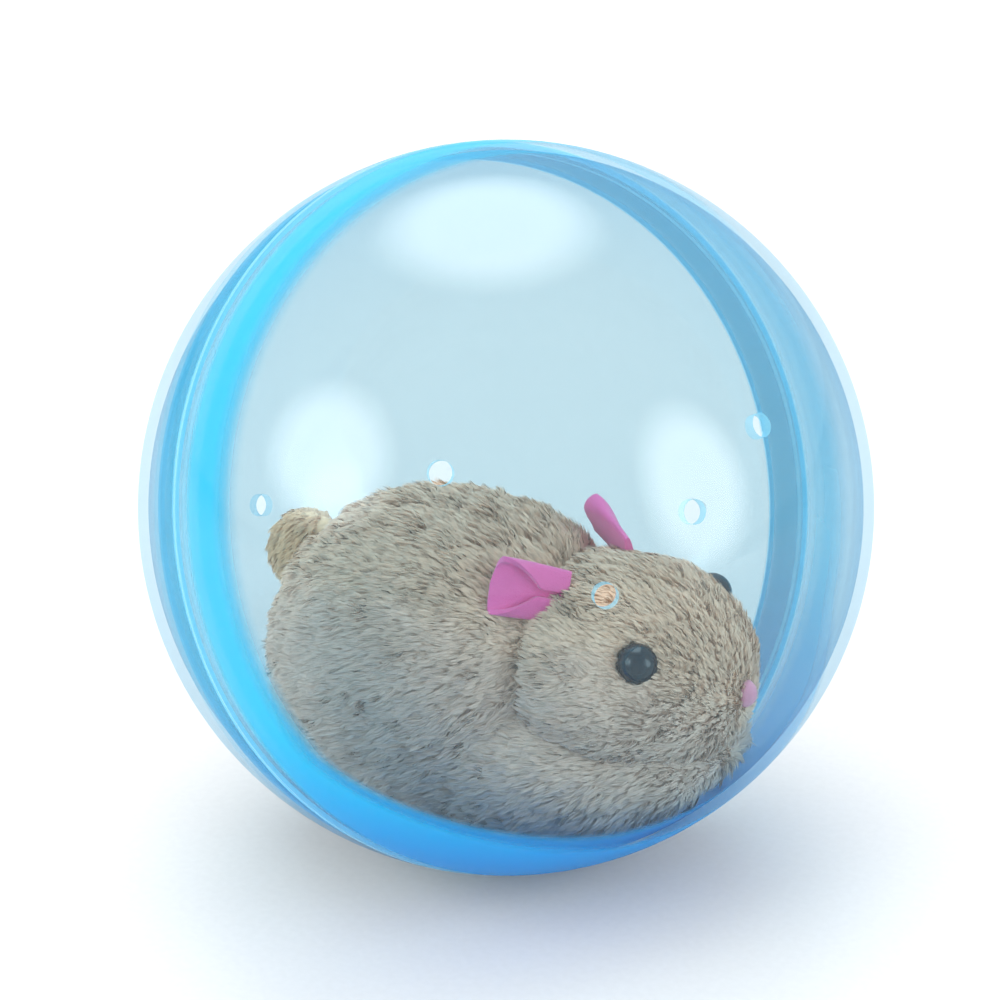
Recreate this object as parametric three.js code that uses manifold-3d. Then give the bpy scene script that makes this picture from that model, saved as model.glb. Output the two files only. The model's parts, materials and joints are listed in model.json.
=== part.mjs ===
// A motorized pet ball: a clear ball in two half shells, with a stuffed toy hamster inside that
// hides a wheeled drive unit. Millimetres, +Z up. The origin is where the ball rests on the floor,
// the hamster faces +X, and its left side is +Y.

import * as THREE from "three";
import { mergeVertices } from "three/addons/utils/BufferGeometryUtils.js";
import Module from "manifold-3d";

const wasm = await Module();
wasm.setup();

// Clearances
const SEAT_GAP = 0.3;
const GEAR_CLEARANCE = 0.5;
const PLUSH_GAP = 0.4;

// Ball
const BALL_RADIUS = 62.5;
const SHELL_WALL = 1.8;
const TONGUE_WALL = 0.8;
const TONGUE_REACH = 8.3;
const FLOOR_FLAT_DEPTH = 0.12;
const POLE_AZIMUTH = 60;
const POLE_ELEVATION = 22;
const VENT_RADIUS = 2;
const LUG_WIDTH = 5.3;
const LUG_REACH = 2.5;
const LUG_COUNT = 2;
const LUG_TURN = -92;
const FRONT_VENTS = [
  { polar: 2.5, turn: 196 },
  { polar: 16, turn: 33 },
  { polar: 20.4, turn: 208.3 },
  { polar: 40, turn: 159.7 },
];
const REAR_VENT_TURN = 130;

// Drive wheels and front rollers
const AXLE_X = -26;
const AXLE_RADIUS = 1;
const WHEEL_RADIUS = 9.5;
const WHEEL_WIDTH = 4;
const WHEEL_GAP = 1.5;
const TYRE_CROWN = 0.9;
const TYRE_THICKNESS = 2.2;
const HUB_DISH = 1;
const HUB_BOSS_RADIUS = 2.5;
const AXLE_END = 0.7;
const ROLLER_GAP = 0.6;
const ROLLER_RADIUS = 3.2;
const ROLLER_WIDTH = 3;
const ROLLER_TRACK = 10;
const ROLLER_CROWN = 0.3;
const ROLLER_AXLE_RADIUS = 0.8;
const ROLLER_EAR_RADIUS = 2.2;

// Gears
const GEAR_MODULE = 0.5;
const PRESSURE_ANGLE = THREE.MathUtils.degToRad(20);
const ADDENDUM = 0.8;
const DEDENDUM = 1.25;
const BACKLASH = 0.15;
const CENTRE_SLACK = 0.1;
const GEAR_WIDTH = 2.3;
const AXLE_TEETH = 20;
const IDLER_SMALL_TEETH = 12;
const PINION_TEETH = 12;
const IDLER_ANGLE = 80;
const IDLER_PIN_RADIUS = 0.75;
const PIN_SEAT_DEPTH = 0.8;

// Motor
const MOTOR_WIDTH = 15.5;
const MOTOR_FLAT = 12;
const MOTOR_ROOM = 0.6;
const MOTOR_CAP_LENGTH = 1.7;
const MOTOR_SHAFT_RADIUS = 0.75;
const MOTOR_SHAFT_DEPTH = 10;
const WIRE_SPACE = 2;

// Batteries and contacts
const BATTERY_SIDE_ROOM = 1.15;
const BATTERY_LENGTH = 44.5;
const BATTERY_NIPPLE = 0.8;
const BATTERY_NIPPLE_RADIUS = 1.9;
const BATTERY_SPACING = 0.7;
const SPRING_LENGTH = 2.8;
const SPRING_WIDE = 3.2;
const SPRING_NARROW = 2.2;
const SPRING_WIRE = 0.22;
const SPRING_TURNS = 2;
const CONTACT_THICKNESS = 0.5;
const CONTACT_SPLIT = 0.8;
const WIRE_RADIUS = 0.5;
const WIRE_TENSION = 0.2;
const WIRE_BEND = 1.5;

// Housing
const HOUSING_CLEARANCE = 0.65;
const HOUSING_WALL = 1.5;
const HOUSING_WIDTH = 27;
const DOOR_THICKNESS = 1.5;
const DOOR_MARGIN = 1.3;
const DOOR_EAR_WIDTH = 6;
const DOOR_EAR_X = 6;
const HOOK_WIDTH = 3;
const HOOK_THICKNESS = 0.9;
const DIVIDER_THICKNESS = 1;
const DECK_THICKNESS = 0.9;
const POST_RADIUS = 2.4;
const POST_HEIGHT = 7;
const REAR_POST_X = -10;
const FRONT_POST_INSET = 6.2;
const SCREW_SHANK_RADIUS = 0.95;
const SCREW_HEAD_RADIUS = 2;
const SCREW_HEAD_HEIGHT = 1.4;
const SCREW_LENGTH = 7;
const SCREW_SLOT_WIDTH = 0.6;
const SCREW_SLOT_LENGTH = 2.4;

// Switch
const SWITCH_LENGTH = 8.5;
const SWITCH_WIDTH = 3.6;
const SWITCH_HEIGHT = 3.7;
const SWITCH_Y = -5;
const SWITCH_TRAVEL = 2.5;
const KNOB_WIDTH = 2.2;
const KNOB_LENGTH = 2.6;
const KNOB_PROUD = 1.2;
const KNOB_FLANGE = 0.5;
const KNOB_FLANGE_HEIGHT = 0.8;
const TERMINAL_SPACING = 5;

// Plush
const FUR_PILE = 2.2;
const RUMP = { centre: [-11, 0, 32], radii: [30, 28, 27], power: 2.4 };
const BELLY = { centre: [10, 0, 23], radii: [34, 26, 16], power: 2.2 };
const HEAD = { centre: [22, 0, 37], radii: [23, 22, 18.5], power: 2.1 };
const EYE_RADIUS = 3.5;
const EYE_SUNK = 1.2;
const EYE_TOWARD = [10, 15, 9.7];
const NOSE = { radii: [2.6, 2.2, 2.9], toward: [1, 0, 0.02] };
const TAIL = { radii: [8.5, 4.5, 8.2], toward: [-27.4, 0, 13.6] };
const EAR_TOWARD = [-5.3, 9.8, 15.9];
const EAR_REACH = [-10.8, 6.3, 2.8];
const EAR_ACROSS = [0.23, -0.54, 0.81];
const EAR_ROOT_WIDTH = 7.8;
const EAR_TIP_WIDTH = 9.6;
const EAR_FOLD = 0.5;
const FELT = 1.2;

// Facets
const SHELL_SEGMENTS = 48;
const SHELL_ARC_STEPS = 12;
const ROUND_SEGMENTS = 20;
const SMALL_SEGMENTS = 10;
const PLUSH_SEGMENTS = 22;
const PLUSH_RINGS = 14;
const BEAD_SEGMENTS = 12;
const BEAD_RINGS = 8;
const WIRE_STEPS = 20;
const WIRE_SIDES = 6;
const COIL_STEPS = 10;
const COIL_SIDES = 5;
const EAR_STEPS = 5;
const WELD_DISTANCE = 1e-4;

// Worked-out sizes of the ball
const shellInside = BALL_RADIUS - SHELL_WALL;
const freeRadius = shellInside - SEAT_GAP;
const centreZ = BALL_RADIUS - FLOOR_FLAT_DEPTH;
const rimInside = shellInside + TONGUE_WALL + SEAT_GAP;

// Where the wheels stand on the ball's inner wall
function axleHeight(x, track, radius) {
  const contact = Math.sqrt(freeRadius ** 2 - (track / 2) ** 2);
  return centreZ - Math.sqrt((contact - radius) ** 2 - x ** 2);
}
const wheelTrack = HOUSING_WIDTH + 2 * WHEEL_GAP + WHEEL_WIDTH;
const axleZ = axleHeight(AXLE_X, wheelTrack, WHEEL_RADIUS);

// Gear train, from the axle up to the motor. The big idler wheel is large enough for the motor to
// lie beside the idler's pin.
const pitchRadius = (teeth) => (teeth * GEAR_MODULE) / 2;
const tipRadius = (teeth) => pitchRadius(teeth) + ADDENDUM * GEAR_MODULE;
const meshDistance = (a, b) => pitchRadius(a) + pitchRadius(b) + CENTRE_SLACK;
const toRadians = THREE.MathUtils.degToRad;
const pinToMotor = IDLER_PIN_RADIUS + GEAR_CLEARANCE + MOTOR_WIDTH / 2;
const idlerBigTeeth = Math.ceil((2 * (pinToMotor - CENTRE_SLACK)) / GEAR_MODULE) - PINION_TEETH;
const slowDistance = meshDistance(AXLE_TEETH, IDLER_SMALL_TEETH);
const fastDistance = meshDistance(idlerBigTeeth, PINION_TEETH);
const idlerX = AXLE_X + slowDistance * Math.cos(toRadians(IDLER_ANGLE));
const idlerZ = axleZ + slowDistance * Math.sin(toRadians(IDLER_ANGLE));

// Housing ends, from the gears at the rear to the contacts at the front
const innerHalf = HOUSING_WIDTH / 2 - HOUSING_WALL;
const outerHalf = HOUSING_WIDTH / 2;
const batteryRadius = (innerHalf - BATTERY_SIDE_ROOM - BATTERY_SPACING / 2) / 2;
const gearRear = Math.min(AXLE_X - tipRadius(AXLE_TEETH), idlerX - tipRadius(idlerBigTeeth));
const bayRear = gearRear - GEAR_CLEARANCE;
const rearX = bayRear - HOUSING_WALL;
const dividerX = AXLE_X + tipRadius(AXLE_TEETH) + GEAR_CLEARANCE;
const bridgeX = dividerX + DIVIDER_THICKNESS + SEAT_GAP;
const batteryRear = bridgeX + CONTACT_THICKNESS;
const contactX = batteryRear + 3 * SEAT_GAP + BATTERY_LENGTH + SPRING_LENGTH;
const bayFront = contactX + CONTACT_THICKNESS + SEAT_GAP;
const frontX = bayFront + HOUSING_WALL;
const rollerX = frontX + ROLLER_GAP + ROLLER_RADIUS;
const rollerZ = axleHeight(rollerX, ROLLER_TRACK, ROLLER_RADIUS);

// The lowest that the housing's side edge may lie, so that it clears the ball's inner wall
function lowestAt(x) {
  const drop = Math.sqrt(freeRadius ** 2 - outerHalf ** 2 - x ** 2);
  return centreZ - drop + HOUSING_CLEARANCE;
}

// The housing's lower rear corner is cut square to the way the wheels press
const axleLength = Math.hypot(AXLE_X, centreZ - axleZ);
const outward = [AXLE_X / axleLength, (axleZ - centreZ) / axleLength];
const gearReach = tipRadius(AXLE_TEETH) + GEAR_CLEARANCE;
const switchX = dividerX - GEAR_CLEARANCE - SWITCH_WIDTH / 2;
const switchRear = switchX - SWITCH_WIDTH / 2 - SEAT_GAP;
const switchLowest = axleZ + (gearReach - outward[0] * (switchRear - AXLE_X)) / outward[1];

// Housing levels. The bottom clears the ball, and the switch clears the cut corner.
const housingBottom = Math.max(lowestAt(bayFront), switchLowest - SEAT_GAP - HOUSING_WALL);
const frontCornerZ = lowestAt(frontX);
const floorTop = housingBottom + HOUSING_WALL;
const batteryZ = housingBottom + DOOR_THICKNESS + SEAT_GAP + batteryRadius;
const batteryY = batteryRadius + BATTERY_SPACING / 2;
const deckBottom = batteryZ + batteryRadius + SEAT_GAP;
const partingZ = deckBottom + DECK_THICKNESS;
const coverBase = partingZ + SEAT_GAP;
const plateTop = coverBase + HOUSING_WALL;

// The motor lies on the deck, with its pinion in mesh with the idler
const motorZ = partingZ + SEAT_GAP + MOTOR_FLAT / 2;
const motorX = idlerX + Math.sqrt(fastDistance ** 2 - (motorZ - idlerZ) ** 2);
const slowY = innerHalf - GEAR_CLEARANCE - GEAR_WIDTH;
const fastY = slowY - GEAR_CLEARANCE - GEAR_WIDTH;
const motorFront = fastY - GEAR_CLEARANCE;
const capFront = MOTOR_ROOM + MOTOR_CAP_LENGTH - innerHalf;
const motorRear = capFront + SEAT_GAP;
const humpFront = motorX + MOTOR_WIDTH / 2 + WIRE_SPACE + HOUSING_WALL;
const humpTop = motorZ + MOTOR_FLAT / 2 + SEAT_GAP + HOUSING_WALL;

// Posts, front ears, wires and switch
const postXs = [REAR_POST_X, frontX - FRONT_POST_INSET];
const postY = outerHalf + SEAT_GAP + Math.max(SCREW_HEAD_RADIUS, POST_RADIUS - HOUSING_WALL);
const earInside = (ROLLER_TRACK + ROLLER_WIDTH) / 2 + GEAR_CLEARANCE;
const earOutside = earInside + HOUSING_WALL;
const wireZ = deckBottom - WIRE_RADIUS - GEAR_CLEARANCE;
const sideWireY = innerHalf - SEAT_GAP - WIRE_RADIUS;
const switchBottom = floorTop + SEAT_GAP;
const knobRestY = SWITCH_Y - SWITCH_TRAVEL / 2;

// Solids and booleans

function solid(geometry) {
  const bare = geometry.index ? geometry.toNonIndexed() : geometry.clone();
  bare.deleteAttribute("normal");
  bare.deleteAttribute("uv");
  const merged = mergeVertices(bare, WELD_DISTANCE);
  return new wasm.Manifold(
    new wasm.Mesh({
      numProp: 3,
      vertProperties: merged.attributes.position.array,
      triVerts: new Uint32Array(merged.index.array),
    }),
  );
}

function geometryOf(body) {
  const mesh = body.getMesh();
  const geometry = new THREE.BufferGeometry();
  geometry.setAttribute("position", new THREE.Float32BufferAttribute(mesh.vertProperties, 3));
  geometry.setIndex(new THREE.Uint32BufferAttribute(mesh.triVerts, 1));
  return geometry.toNonIndexed();
}

const joined = (first, ...others) => others.reduce((sum, next) => sum.add(next), first);
const cut = (first, ...others) => others.reduce((rest, next) => rest.subtract(next), first);

function block([x0, x1], [y0, y1], [z0, z1]) {
  const geometry = new THREE.BoxGeometry(x1 - x0, y1 - y0, z1 - z0);
  return solid(geometry.translate((x0 + x1) / 2, (y0 + y1) / 2, (z0 + z1) / 2));
}

// A round bar along Y
function rod(radius, [y0, y1], x, z, segments = ROUND_SEGMENTS) {
  const geometry = new THREE.CylinderGeometry(radius, radius, y1 - y0, segments);
  return solid(geometry.translate(x, (y0 + y1) / 2, z));
}

// A round bar along Z
function post(radius, [z0, z1], x, y, segments = SMALL_SEGMENTS) {
  const geometry = new THREE.CylinderGeometry(radius, radius, z1 - z0, segments);
  return solid(geometry.rotateX(Math.PI / 2).translate(x, y, (z0 + z1) / 2));
}

// A side view, given as [x, z] points, extruded along Y
function slab(points, [y0, y1]) {
  const shape = new THREE.Shape(points.map(([x, z]) => new THREE.Vector2(x, z)));
  const geometry = new THREE.ExtrudeGeometry(shape, { depth: y1 - y0, bevelEnabled: false });
  return solid(geometry.rotateX(Math.PI / 2).translate(0, y1, 0));
}

// A convex outline moved inward by a distance, or outward where it is negative
function inset(points, distance) {
  const area = points.reduce((sum, [x, z], i) => {
    const [nextX, nextZ] = points[(i + 1) % points.length];
    return sum + x * nextZ - nextX * z;
  }, 0);
  const side = Math.sign(area) * distance;
  const edges = points.map(([x, z], i) => {
    const [nextX, nextZ] = points[(i + 1) % points.length];
    const length = Math.hypot(nextX - x, nextZ - z);
    const normal = [-(nextZ - z) / length, (nextX - x) / length];
    return { normal, offset: normal[0] * x + normal[1] * z + side };
  });
  return edges.map((edge, i) => {
    const before = edges[(i + edges.length - 1) % edges.length];
    const det = before.normal[0] * edge.normal[1] - before.normal[1] * edge.normal[0];
    return [
      (before.offset * edge.normal[1] - edge.offset * before.normal[1]) / det,
      (before.normal[0] * edge.offset - edge.normal[0] * before.offset) / det,
    ];
  });
}

// A tube of round section along a curve
function tube(curve, radius, steps, sides) {
  const corners = Array.from({ length: sides }, (_, i) => {
    const angle = (2 * Math.PI * i) / sides;
    return new THREE.Vector2(radius * Math.cos(angle), radius * Math.sin(angle));
  });
  const section = new THREE.Shape(corners);
  return new THREE.ExtrudeGeometry(section, { extrudePath: curve, steps, bevelEnabled: false });
}

// A ring or disc turned round the Y axis, from [radius, y] points
function turned(points, segments = ROUND_SEGMENTS) {
  return new THREE.LatheGeometry(points.map(([r, y]) => new THREE.Vector2(r, y)), segments);
}

const model = new THREE.Group();

function finish(colour, roughness, metalness = 0, opacity = 1) {
  return { color: colour, roughness, metalness, opacity, transparent: opacity < 1 };
}

const CLEAR_BLUE = finish(0xa9dff5, 0.06, 0, 0.35);
const WHITE_PLASTIC = finish(0xe9e9e4, 0.45);
const BLACK_PLASTIC = finish(0x1c1c1f, 0.5);
const GEAR_PLASTIC = finish(0xf2efe2, 0.4);
const RUBBER = finish(0x26262a, 0.85);
const STEEL = finish(0xb9bcc0, 0.3, 1);
const NICKEL = finish(0xd3cfc4, 0.25, 1);
const CELL_WRAP = finish(0x2f7d4f, 0.4);
const TAN_FUR = finish(0xb3ab9c, 0.95);
const CREAM_FUR = finish(0xd8d2c6, 0.95);
const PINK_FELT = finish(0xdf78b8, 0.95);
const NOSE_PINK = finish(0xd59aae, 0.8);
const TAIL_BROWN = finish(0xc2a98f, 0.95);
const BEAD = finish(0x0c2a38, 0.08);
const RED_WIRE = finish(0xb3231f, 0.5);
const BLACK_WIRE = finish(0x17171a, 0.5);

function add(name, shape, look, parent = model) {
  const geometry = shape.isBufferGeometry ? shape : geometryOf(shape);
  geometry.computeVertexNormals();
  const mesh = new THREE.Mesh(geometry, new THREE.MeshStandardMaterial(look));
  mesh.name = name;
  parent.add(mesh);
  return mesh;
}

// Ball shells, turned round the pole on local +Z, with the seam on the plane z = 0

const arc = (radius, from, to, steps) =>
  Array.from({ length: steps + 1 }, (_, i) => {
    const polar = from + ((to - from) * i) / steps;
    return [radius * Math.sin(polar), radius * Math.cos(polar)];
  });

const polarAt = (radius, height) => Math.acos(height / radius);

function shellBody(points) {
  return solid(turned(points.reverse(), SHELL_SEGMENTS).rotateX(Math.PI / 2));
}

function vent({ polar, turn }) {
  const drill = new THREE.CylinderGeometry(VENT_RADIUS, VENT_RADIUS, 4 * SHELL_WALL, SMALL_SEGMENTS);
  drill.rotateX(Math.PI / 2).translate(0, 0, BALL_RADIUS);
  drill.rotateY(toRadians(polar)).rotateZ(toRadians(turn));
  return solid(drill);
}

function lugBlocks(gap, inner, outer) {
  return Array.from({ length: LUG_COUNT }, (_, i) => {
    const half = LUG_WIDTH / 2 + gap;
    const lug = new THREE.BoxGeometry(outer - inner, 2 * half, LUG_REACH + gap + SHELL_WALL);
    lug.translate((inner + outer) / 2, 0, (SHELL_WALL - LUG_REACH - gap) / 2);
    return solid(lug.rotateZ(toRadians(LUG_TURN + (360 * i) / LUG_COUNT)));
  });
}

const poleUp = toRadians(POLE_ELEVATION);
const poleTurn = toRadians(POLE_AZIMUTH);
const pole = new THREE.Vector3(
  Math.sin(poleTurn) * Math.cos(poleUp),
  -Math.cos(poleTurn) * Math.cos(poleUp),
  Math.sin(poleUp),
);
const level = new THREE.Vector3(Math.cos(poleTurn), Math.sin(poleTurn), 0);
const upward = new THREE.Vector3().crossVectors(pole, level);
const shellFrame = new THREE.Matrix4().makeBasis(level, upward, pole);

const shells = new THREE.Group();
shells.quaternion.setFromRotationMatrix(shellFrame);
shells.position.z = centreZ;
model.add(shells);

function frontShell() {
  const tongueEnd = -TONGUE_REACH;
  const tongueOutside = shellInside + TONGUE_WALL;
  const body = shellBody([
    ...arc(BALL_RADIUS, 0, Math.PI / 2, SHELL_ARC_STEPS),
    ...arc(tongueOutside, Math.PI / 2, polarAt(tongueOutside, tongueEnd), 2),
    ...arc(shellInside, polarAt(shellInside, tongueEnd), Math.PI / 2, 2),
    ...arc(shellInside, Math.PI / 2, 0, SHELL_ARC_STEPS).slice(1),
  ]);
  const lugs = lugBlocks(0, shellInside + TONGUE_WALL / 2, BALL_RADIUS - SEAT_GAP);
  return cut(joined(body, ...lugs), ...FRONT_VENTS.map(vent));
}

function rearShell() {
  const seam = -SEAT_GAP;
  const step = -TONGUE_REACH - SEAT_GAP;
  const body = shellBody([
    ...arc(shellInside, Math.PI, polarAt(shellInside, step), SHELL_ARC_STEPS - 2),
    ...arc(rimInside, polarAt(rimInside, step), polarAt(rimInside, seam), 2),
    ...arc(BALL_RADIUS, polarAt(BALL_RADIUS, seam), Math.PI, SHELL_ARC_STEPS),
  ]);
  const vents = FRONT_VENTS.map(({ polar, turn }) =>
    vent({ polar: 180 - polar, turn: turn + REAR_VENT_TURN }),
  );
  const notches = lugBlocks(SEAT_GAP, shellInside + TONGUE_WALL / 2, BALL_RADIUS + SHELL_WALL);
  const floor = new THREE.BoxGeometry(BALL_RADIUS, BALL_RADIUS, BALL_RADIUS);
  floor.translate(0, 0, -centreZ - BALL_RADIUS / 2);
  floor.applyMatrix4(shellFrame.clone().invert());
  return cut(body, ...vents, ...notches, solid(floor));
}

add("front_shell", frontShell(), CLEAR_BLUE, shells);
add("rear_shell", rearShell(), CLEAR_BLUE, shells);

// Gears, as involute outlines in side view

const involute = (angle) => Math.tan(angle) - angle;

function gearOutline(teeth, x, z, phase) {
  const pitch = pitchRadius(teeth);
  const base = pitch * Math.cos(PRESSURE_ANGLE);
  const radii = [pitch - DEDENDUM * GEAR_MODULE, tipRadius(teeth)];
  const halfTooth = (radius) =>
    (Math.PI / 2 / teeth) * (1 - BACKLASH) +
    involute(PRESSURE_ANGLE) -
    involute(Math.acos(Math.min(1, base / radius)));
  const points = [];
  for (let tooth = 0; tooth < teeth; tooth++) {
    const middle = phase + (2 * Math.PI * tooth) / teeth;
    for (const radius of radii) points.push([radius, middle - halfTooth(radius)]);
    for (const radius of [...radii].reverse()) points.push([radius, middle + halfTooth(radius)]);
  }
  return points.map(([radius, angle]) => [x + radius * Math.cos(angle), z + radius * Math.sin(angle)]);
}

// The phase that puts a gap of this gear on the line to a gear with a tooth there
const gapPhase = (teeth, direction) => direction + Math.PI + Math.PI / teeth;

const idlerDirection = toRadians(IDLER_ANGLE);
const motorDirection = Math.atan2(motorZ - idlerZ, motorX - idlerX);

add(
  "axle_gear",
  cut(
    slab(gearOutline(AXLE_TEETH, AXLE_X, axleZ, idlerDirection), [slowY, slowY + GEAR_WIDTH]),
    rod(AXLE_RADIUS + SEAT_GAP, [slowY - 1, slowY + GEAR_WIDTH + 1], AXLE_X, axleZ, SMALL_SEGMENTS),
  ),
  GEAR_PLASTIC,
);
add(
  "idler_gear",
  cut(
    joined(
      slab(gearOutline(idlerBigTeeth, idlerX, idlerZ, motorDirection), [fastY, fastY + GEAR_WIDTH]),
      slab(
        gearOutline(IDLER_SMALL_TEETH, idlerX, idlerZ, gapPhase(IDLER_SMALL_TEETH, idlerDirection)),
        [fastY + GEAR_WIDTH / 2, slowY + GEAR_WIDTH],
      ),
    ),
    rod(IDLER_PIN_RADIUS + SEAT_GAP, [fastY - 1, innerHalf], idlerX, idlerZ, SMALL_SEGMENTS),
  ),
  GEAR_PLASTIC,
);
add(
  "motor_pinion",
  cut(
    slab(
      gearOutline(PINION_TEETH, motorX, motorZ, gapPhase(PINION_TEETH, motorDirection)),
      [fastY, fastY + GEAR_WIDTH],
    ),
    rod(MOTOR_SHAFT_RADIUS + SEAT_GAP, [fastY - 1, innerHalf], motorX, motorZ, SMALL_SEGMENTS),
  ),
  NICKEL,
);

// Axles, wheels and rollers

const wheelOutside = (wheelTrack + WHEEL_WIDTH) / 2;
const hubRadius = WHEEL_RADIUS - TYRE_THICKNESS - SEAT_GAP;
const axleEndY = wheelOutside + AXLE_END;

add("drive_axle", rod(AXLE_RADIUS, [-axleEndY, axleEndY], AXLE_X, axleZ, SMALL_SEGMENTS), STEEL);
const pinEndY = innerHalf + PIN_SEAT_DEPTH;
add("idler_pin", rod(IDLER_PIN_RADIUS, [-pinEndY, pinEndY], idlerX, idlerZ, SMALL_SEGMENTS), STEEL);

// The crowned outside of a wheel, so that its middle meets the round wall first
function crowned(radius, width, crown, steps = 4) {
  return Array.from({ length: steps + 1 }, (_, i) => {
    const across = (2 * i) / steps - 1;
    return [radius - crown * across ** 2, (across * width) / 2];
  });
}

function wheelHub() {
  const bore = AXLE_RADIUS + SEAT_GAP;
  const half = WHEEL_WIDTH / 2;
  const wallFace = outerHalf + SEAT_GAP - wheelTrack / 2;
  return turned([
    [bore, wallFace],
    [HUB_BOSS_RADIUS, wallFace],
    [HUB_BOSS_RADIUS, -half],
    [hubRadius, -half],
    [hubRadius, half],
    [hubRadius - HUB_DISH, half],
    [hubRadius - HUB_DISH, half - HUB_DISH],
    [HUB_BOSS_RADIUS, half - HUB_DISH],
    [HUB_BOSS_RADIUS, half],
    [bore, half],
    [bore, wallFace],
  ]);
}

function tyre() {
  const inside = WHEEL_RADIUS - TYRE_THICKNESS;
  const half = WHEEL_WIDTH / 2;
  return turned([
    [inside, -half],
    ...crowned(WHEEL_RADIUS, WHEEL_WIDTH, TYRE_CROWN),
    [inside, half],
    [inside, -half],
  ]);
}

function roller() {
  const bore = ROLLER_AXLE_RADIUS + SEAT_GAP;
  const half = ROLLER_WIDTH / 2;
  return turned([
    [bore, -half],
    ...crowned(ROLLER_RADIUS, ROLLER_WIDTH, ROLLER_CROWN, 2),
    [bore, half],
    [bore, -half],
  ]);
}

for (const [side, sign] of [["left", 1], ["right", -1]]) {
  const turn = sign > 0 ? 0 : Math.PI;
  const hub = add(`wheel_hub_${side}`, wheelHub(), WHITE_PLASTIC);
  hub.position.set(AXLE_X, (sign * wheelTrack) / 2, axleZ);
  hub.rotation.z = turn;
  const rubber = add(`tyre_${side}`, tyre(), RUBBER);
  rubber.position.set(AXLE_X, (sign * wheelTrack) / 2, axleZ);
  const front = add(`front_roller_${side}`, roller(), BLACK_PLASTIC);
  front.position.set(rollerX, (sign * ROLLER_TRACK) / 2, rollerZ);
}
const rollerAxleEnd = earOutside + SEAT_GAP;
const rollerAxle = [-rollerAxleEnd, rollerAxleEnd];
add("front_axle", rod(ROLLER_AXLE_RADIUS, rollerAxle, rollerX, rollerZ, SMALL_SEGMENTS), STEEL);

// Motor

function motorSection([y0, y1], shrink = 0) {
  const round = rod(MOTOR_WIDTH / 2 - shrink, [y0, y1], motorX, motorZ);
  const half = MOTOR_FLAT / 2 - shrink;
  return round.intersect(
    block([motorX - MOTOR_WIDTH, motorX + MOTOR_WIDTH], [y0 - 1, y1 + 1], [motorZ - half, motorZ + half]),
  );
}

const shaftBore = rod(
  MOTOR_SHAFT_RADIUS + SEAT_GAP,
  [motorFront - MOTOR_SHAFT_DEPTH - SEAT_GAP, motorFront + 1],
  motorX,
  motorZ,
  SMALL_SEGMENTS,
);
add("motor_can", cut(motorSection([motorRear, motorFront]), shaftBore), STEEL);
add("motor_end_cap", motorSection([capFront - MOTOR_CAP_LENGTH, capFront], SEAT_GAP), BLACK_PLASTIC);
add(
  "motor_shaft",
  rod(
    MOTOR_SHAFT_RADIUS,
    [motorFront - MOTOR_SHAFT_DEPTH, fastY + GEAR_WIDTH],
    motorX,
    motorZ,
    SMALL_SEGMENTS,
  ),
  STEEL,
);

// Batteries and contacts

function battery(y, nippleAtRear) {
  const bodyLength = BATTERY_LENGTH - BATTERY_NIPPLE;
  const half = BATTERY_LENGTH / 2;
  const cell = turned([
    [0, -half],
    [batteryRadius, -half],
    [batteryRadius, bodyLength - half],
    [BATTERY_NIPPLE_RADIUS, bodyLength - half],
    [BATTERY_NIPPLE_RADIUS, half],
    [0, half],
  ]);
  const start = batteryRear + SEAT_GAP + (nippleAtRear ? 0 : SPRING_LENGTH + SEAT_GAP);
  return cell.rotateZ(nippleAtRear ? Math.PI / 2 : -Math.PI / 2).translate(start + half, y, batteryZ);
}

add("battery_right", battery(-batteryY, true), CELL_WRAP);
add("battery_left", battery(batteryY, false), CELL_WRAP);

class ConeCoil extends THREE.Curve {
  constructor(start, end, y) {
    super();
    Object.assign(this, { start, end, y });
  }
  getPoint(t) {
    const radius = SPRING_WIDE + (SPRING_NARROW - SPRING_WIDE) * t;
    const angle = 2 * Math.PI * SPRING_TURNS * t;
    return new THREE.Vector3(
      this.start + (this.end - this.start) * t,
      this.y + radius * Math.cos(angle),
      batteryZ + radius * Math.sin(angle),
    );
  }
}

function contactSpring(plateX, towardX, y) {
  const direction = Math.sign(towardX - plateX);
  const coil = new ConeCoil(plateX + direction * SPRING_WIRE * 2, towardX - direction * SPRING_WIRE * 2, y);
  return tube(coil, SPRING_WIRE, SPRING_TURNS * COIL_STEPS, COIL_SIDES);
}

const frontSpringEnd = batteryRear + SEAT_GAP + BATTERY_LENGTH + SEAT_GAP;
const frontSpring = contactSpring(frontSpringEnd + SPRING_LENGTH, frontSpringEnd, -batteryY);
add("contact_spring_front", frontSpring, NICKEL);
const rearSpringEnd = batteryRear + SEAT_GAP;
const rearSpring = contactSpring(rearSpringEnd, rearSpringEnd + SPRING_LENGTH, batteryY);
add("contact_spring_rear", rearSpring, NICKEL);

const contactBottom = floorTop + 2 * SEAT_GAP;
const contactLevels = [contactBottom, deckBottom - SEAT_GAP];
const contactSide = innerHalf - SEAT_GAP;
const contactDepth = [contactX, contactX + CONTACT_THICKNESS];
const positiveInside = -WIRE_RADIUS - SEAT_GAP;
const positiveWidth = [positiveInside, contactSide];
const negativeWidth = [-contactSide, positiveInside - CONTACT_SPLIT];
const bridgeHalf = batteryY + SPRING_WIDE;
const bridgeLevels = [contactBottom, batteryZ + SPRING_WIDE];
add("contact_bridge", block([bridgeX, batteryRear], [-bridgeHalf, bridgeHalf], bridgeLevels), NICKEL);
add("contact_plate_positive", block(contactDepth, positiveWidth, contactLevels), NICKEL);
add("contact_plate_negative", block(contactDepth, negativeWidth, contactLevels), NICKEL);

// Screws, with the seat under the head at the origin and the shank pointing down

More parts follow.
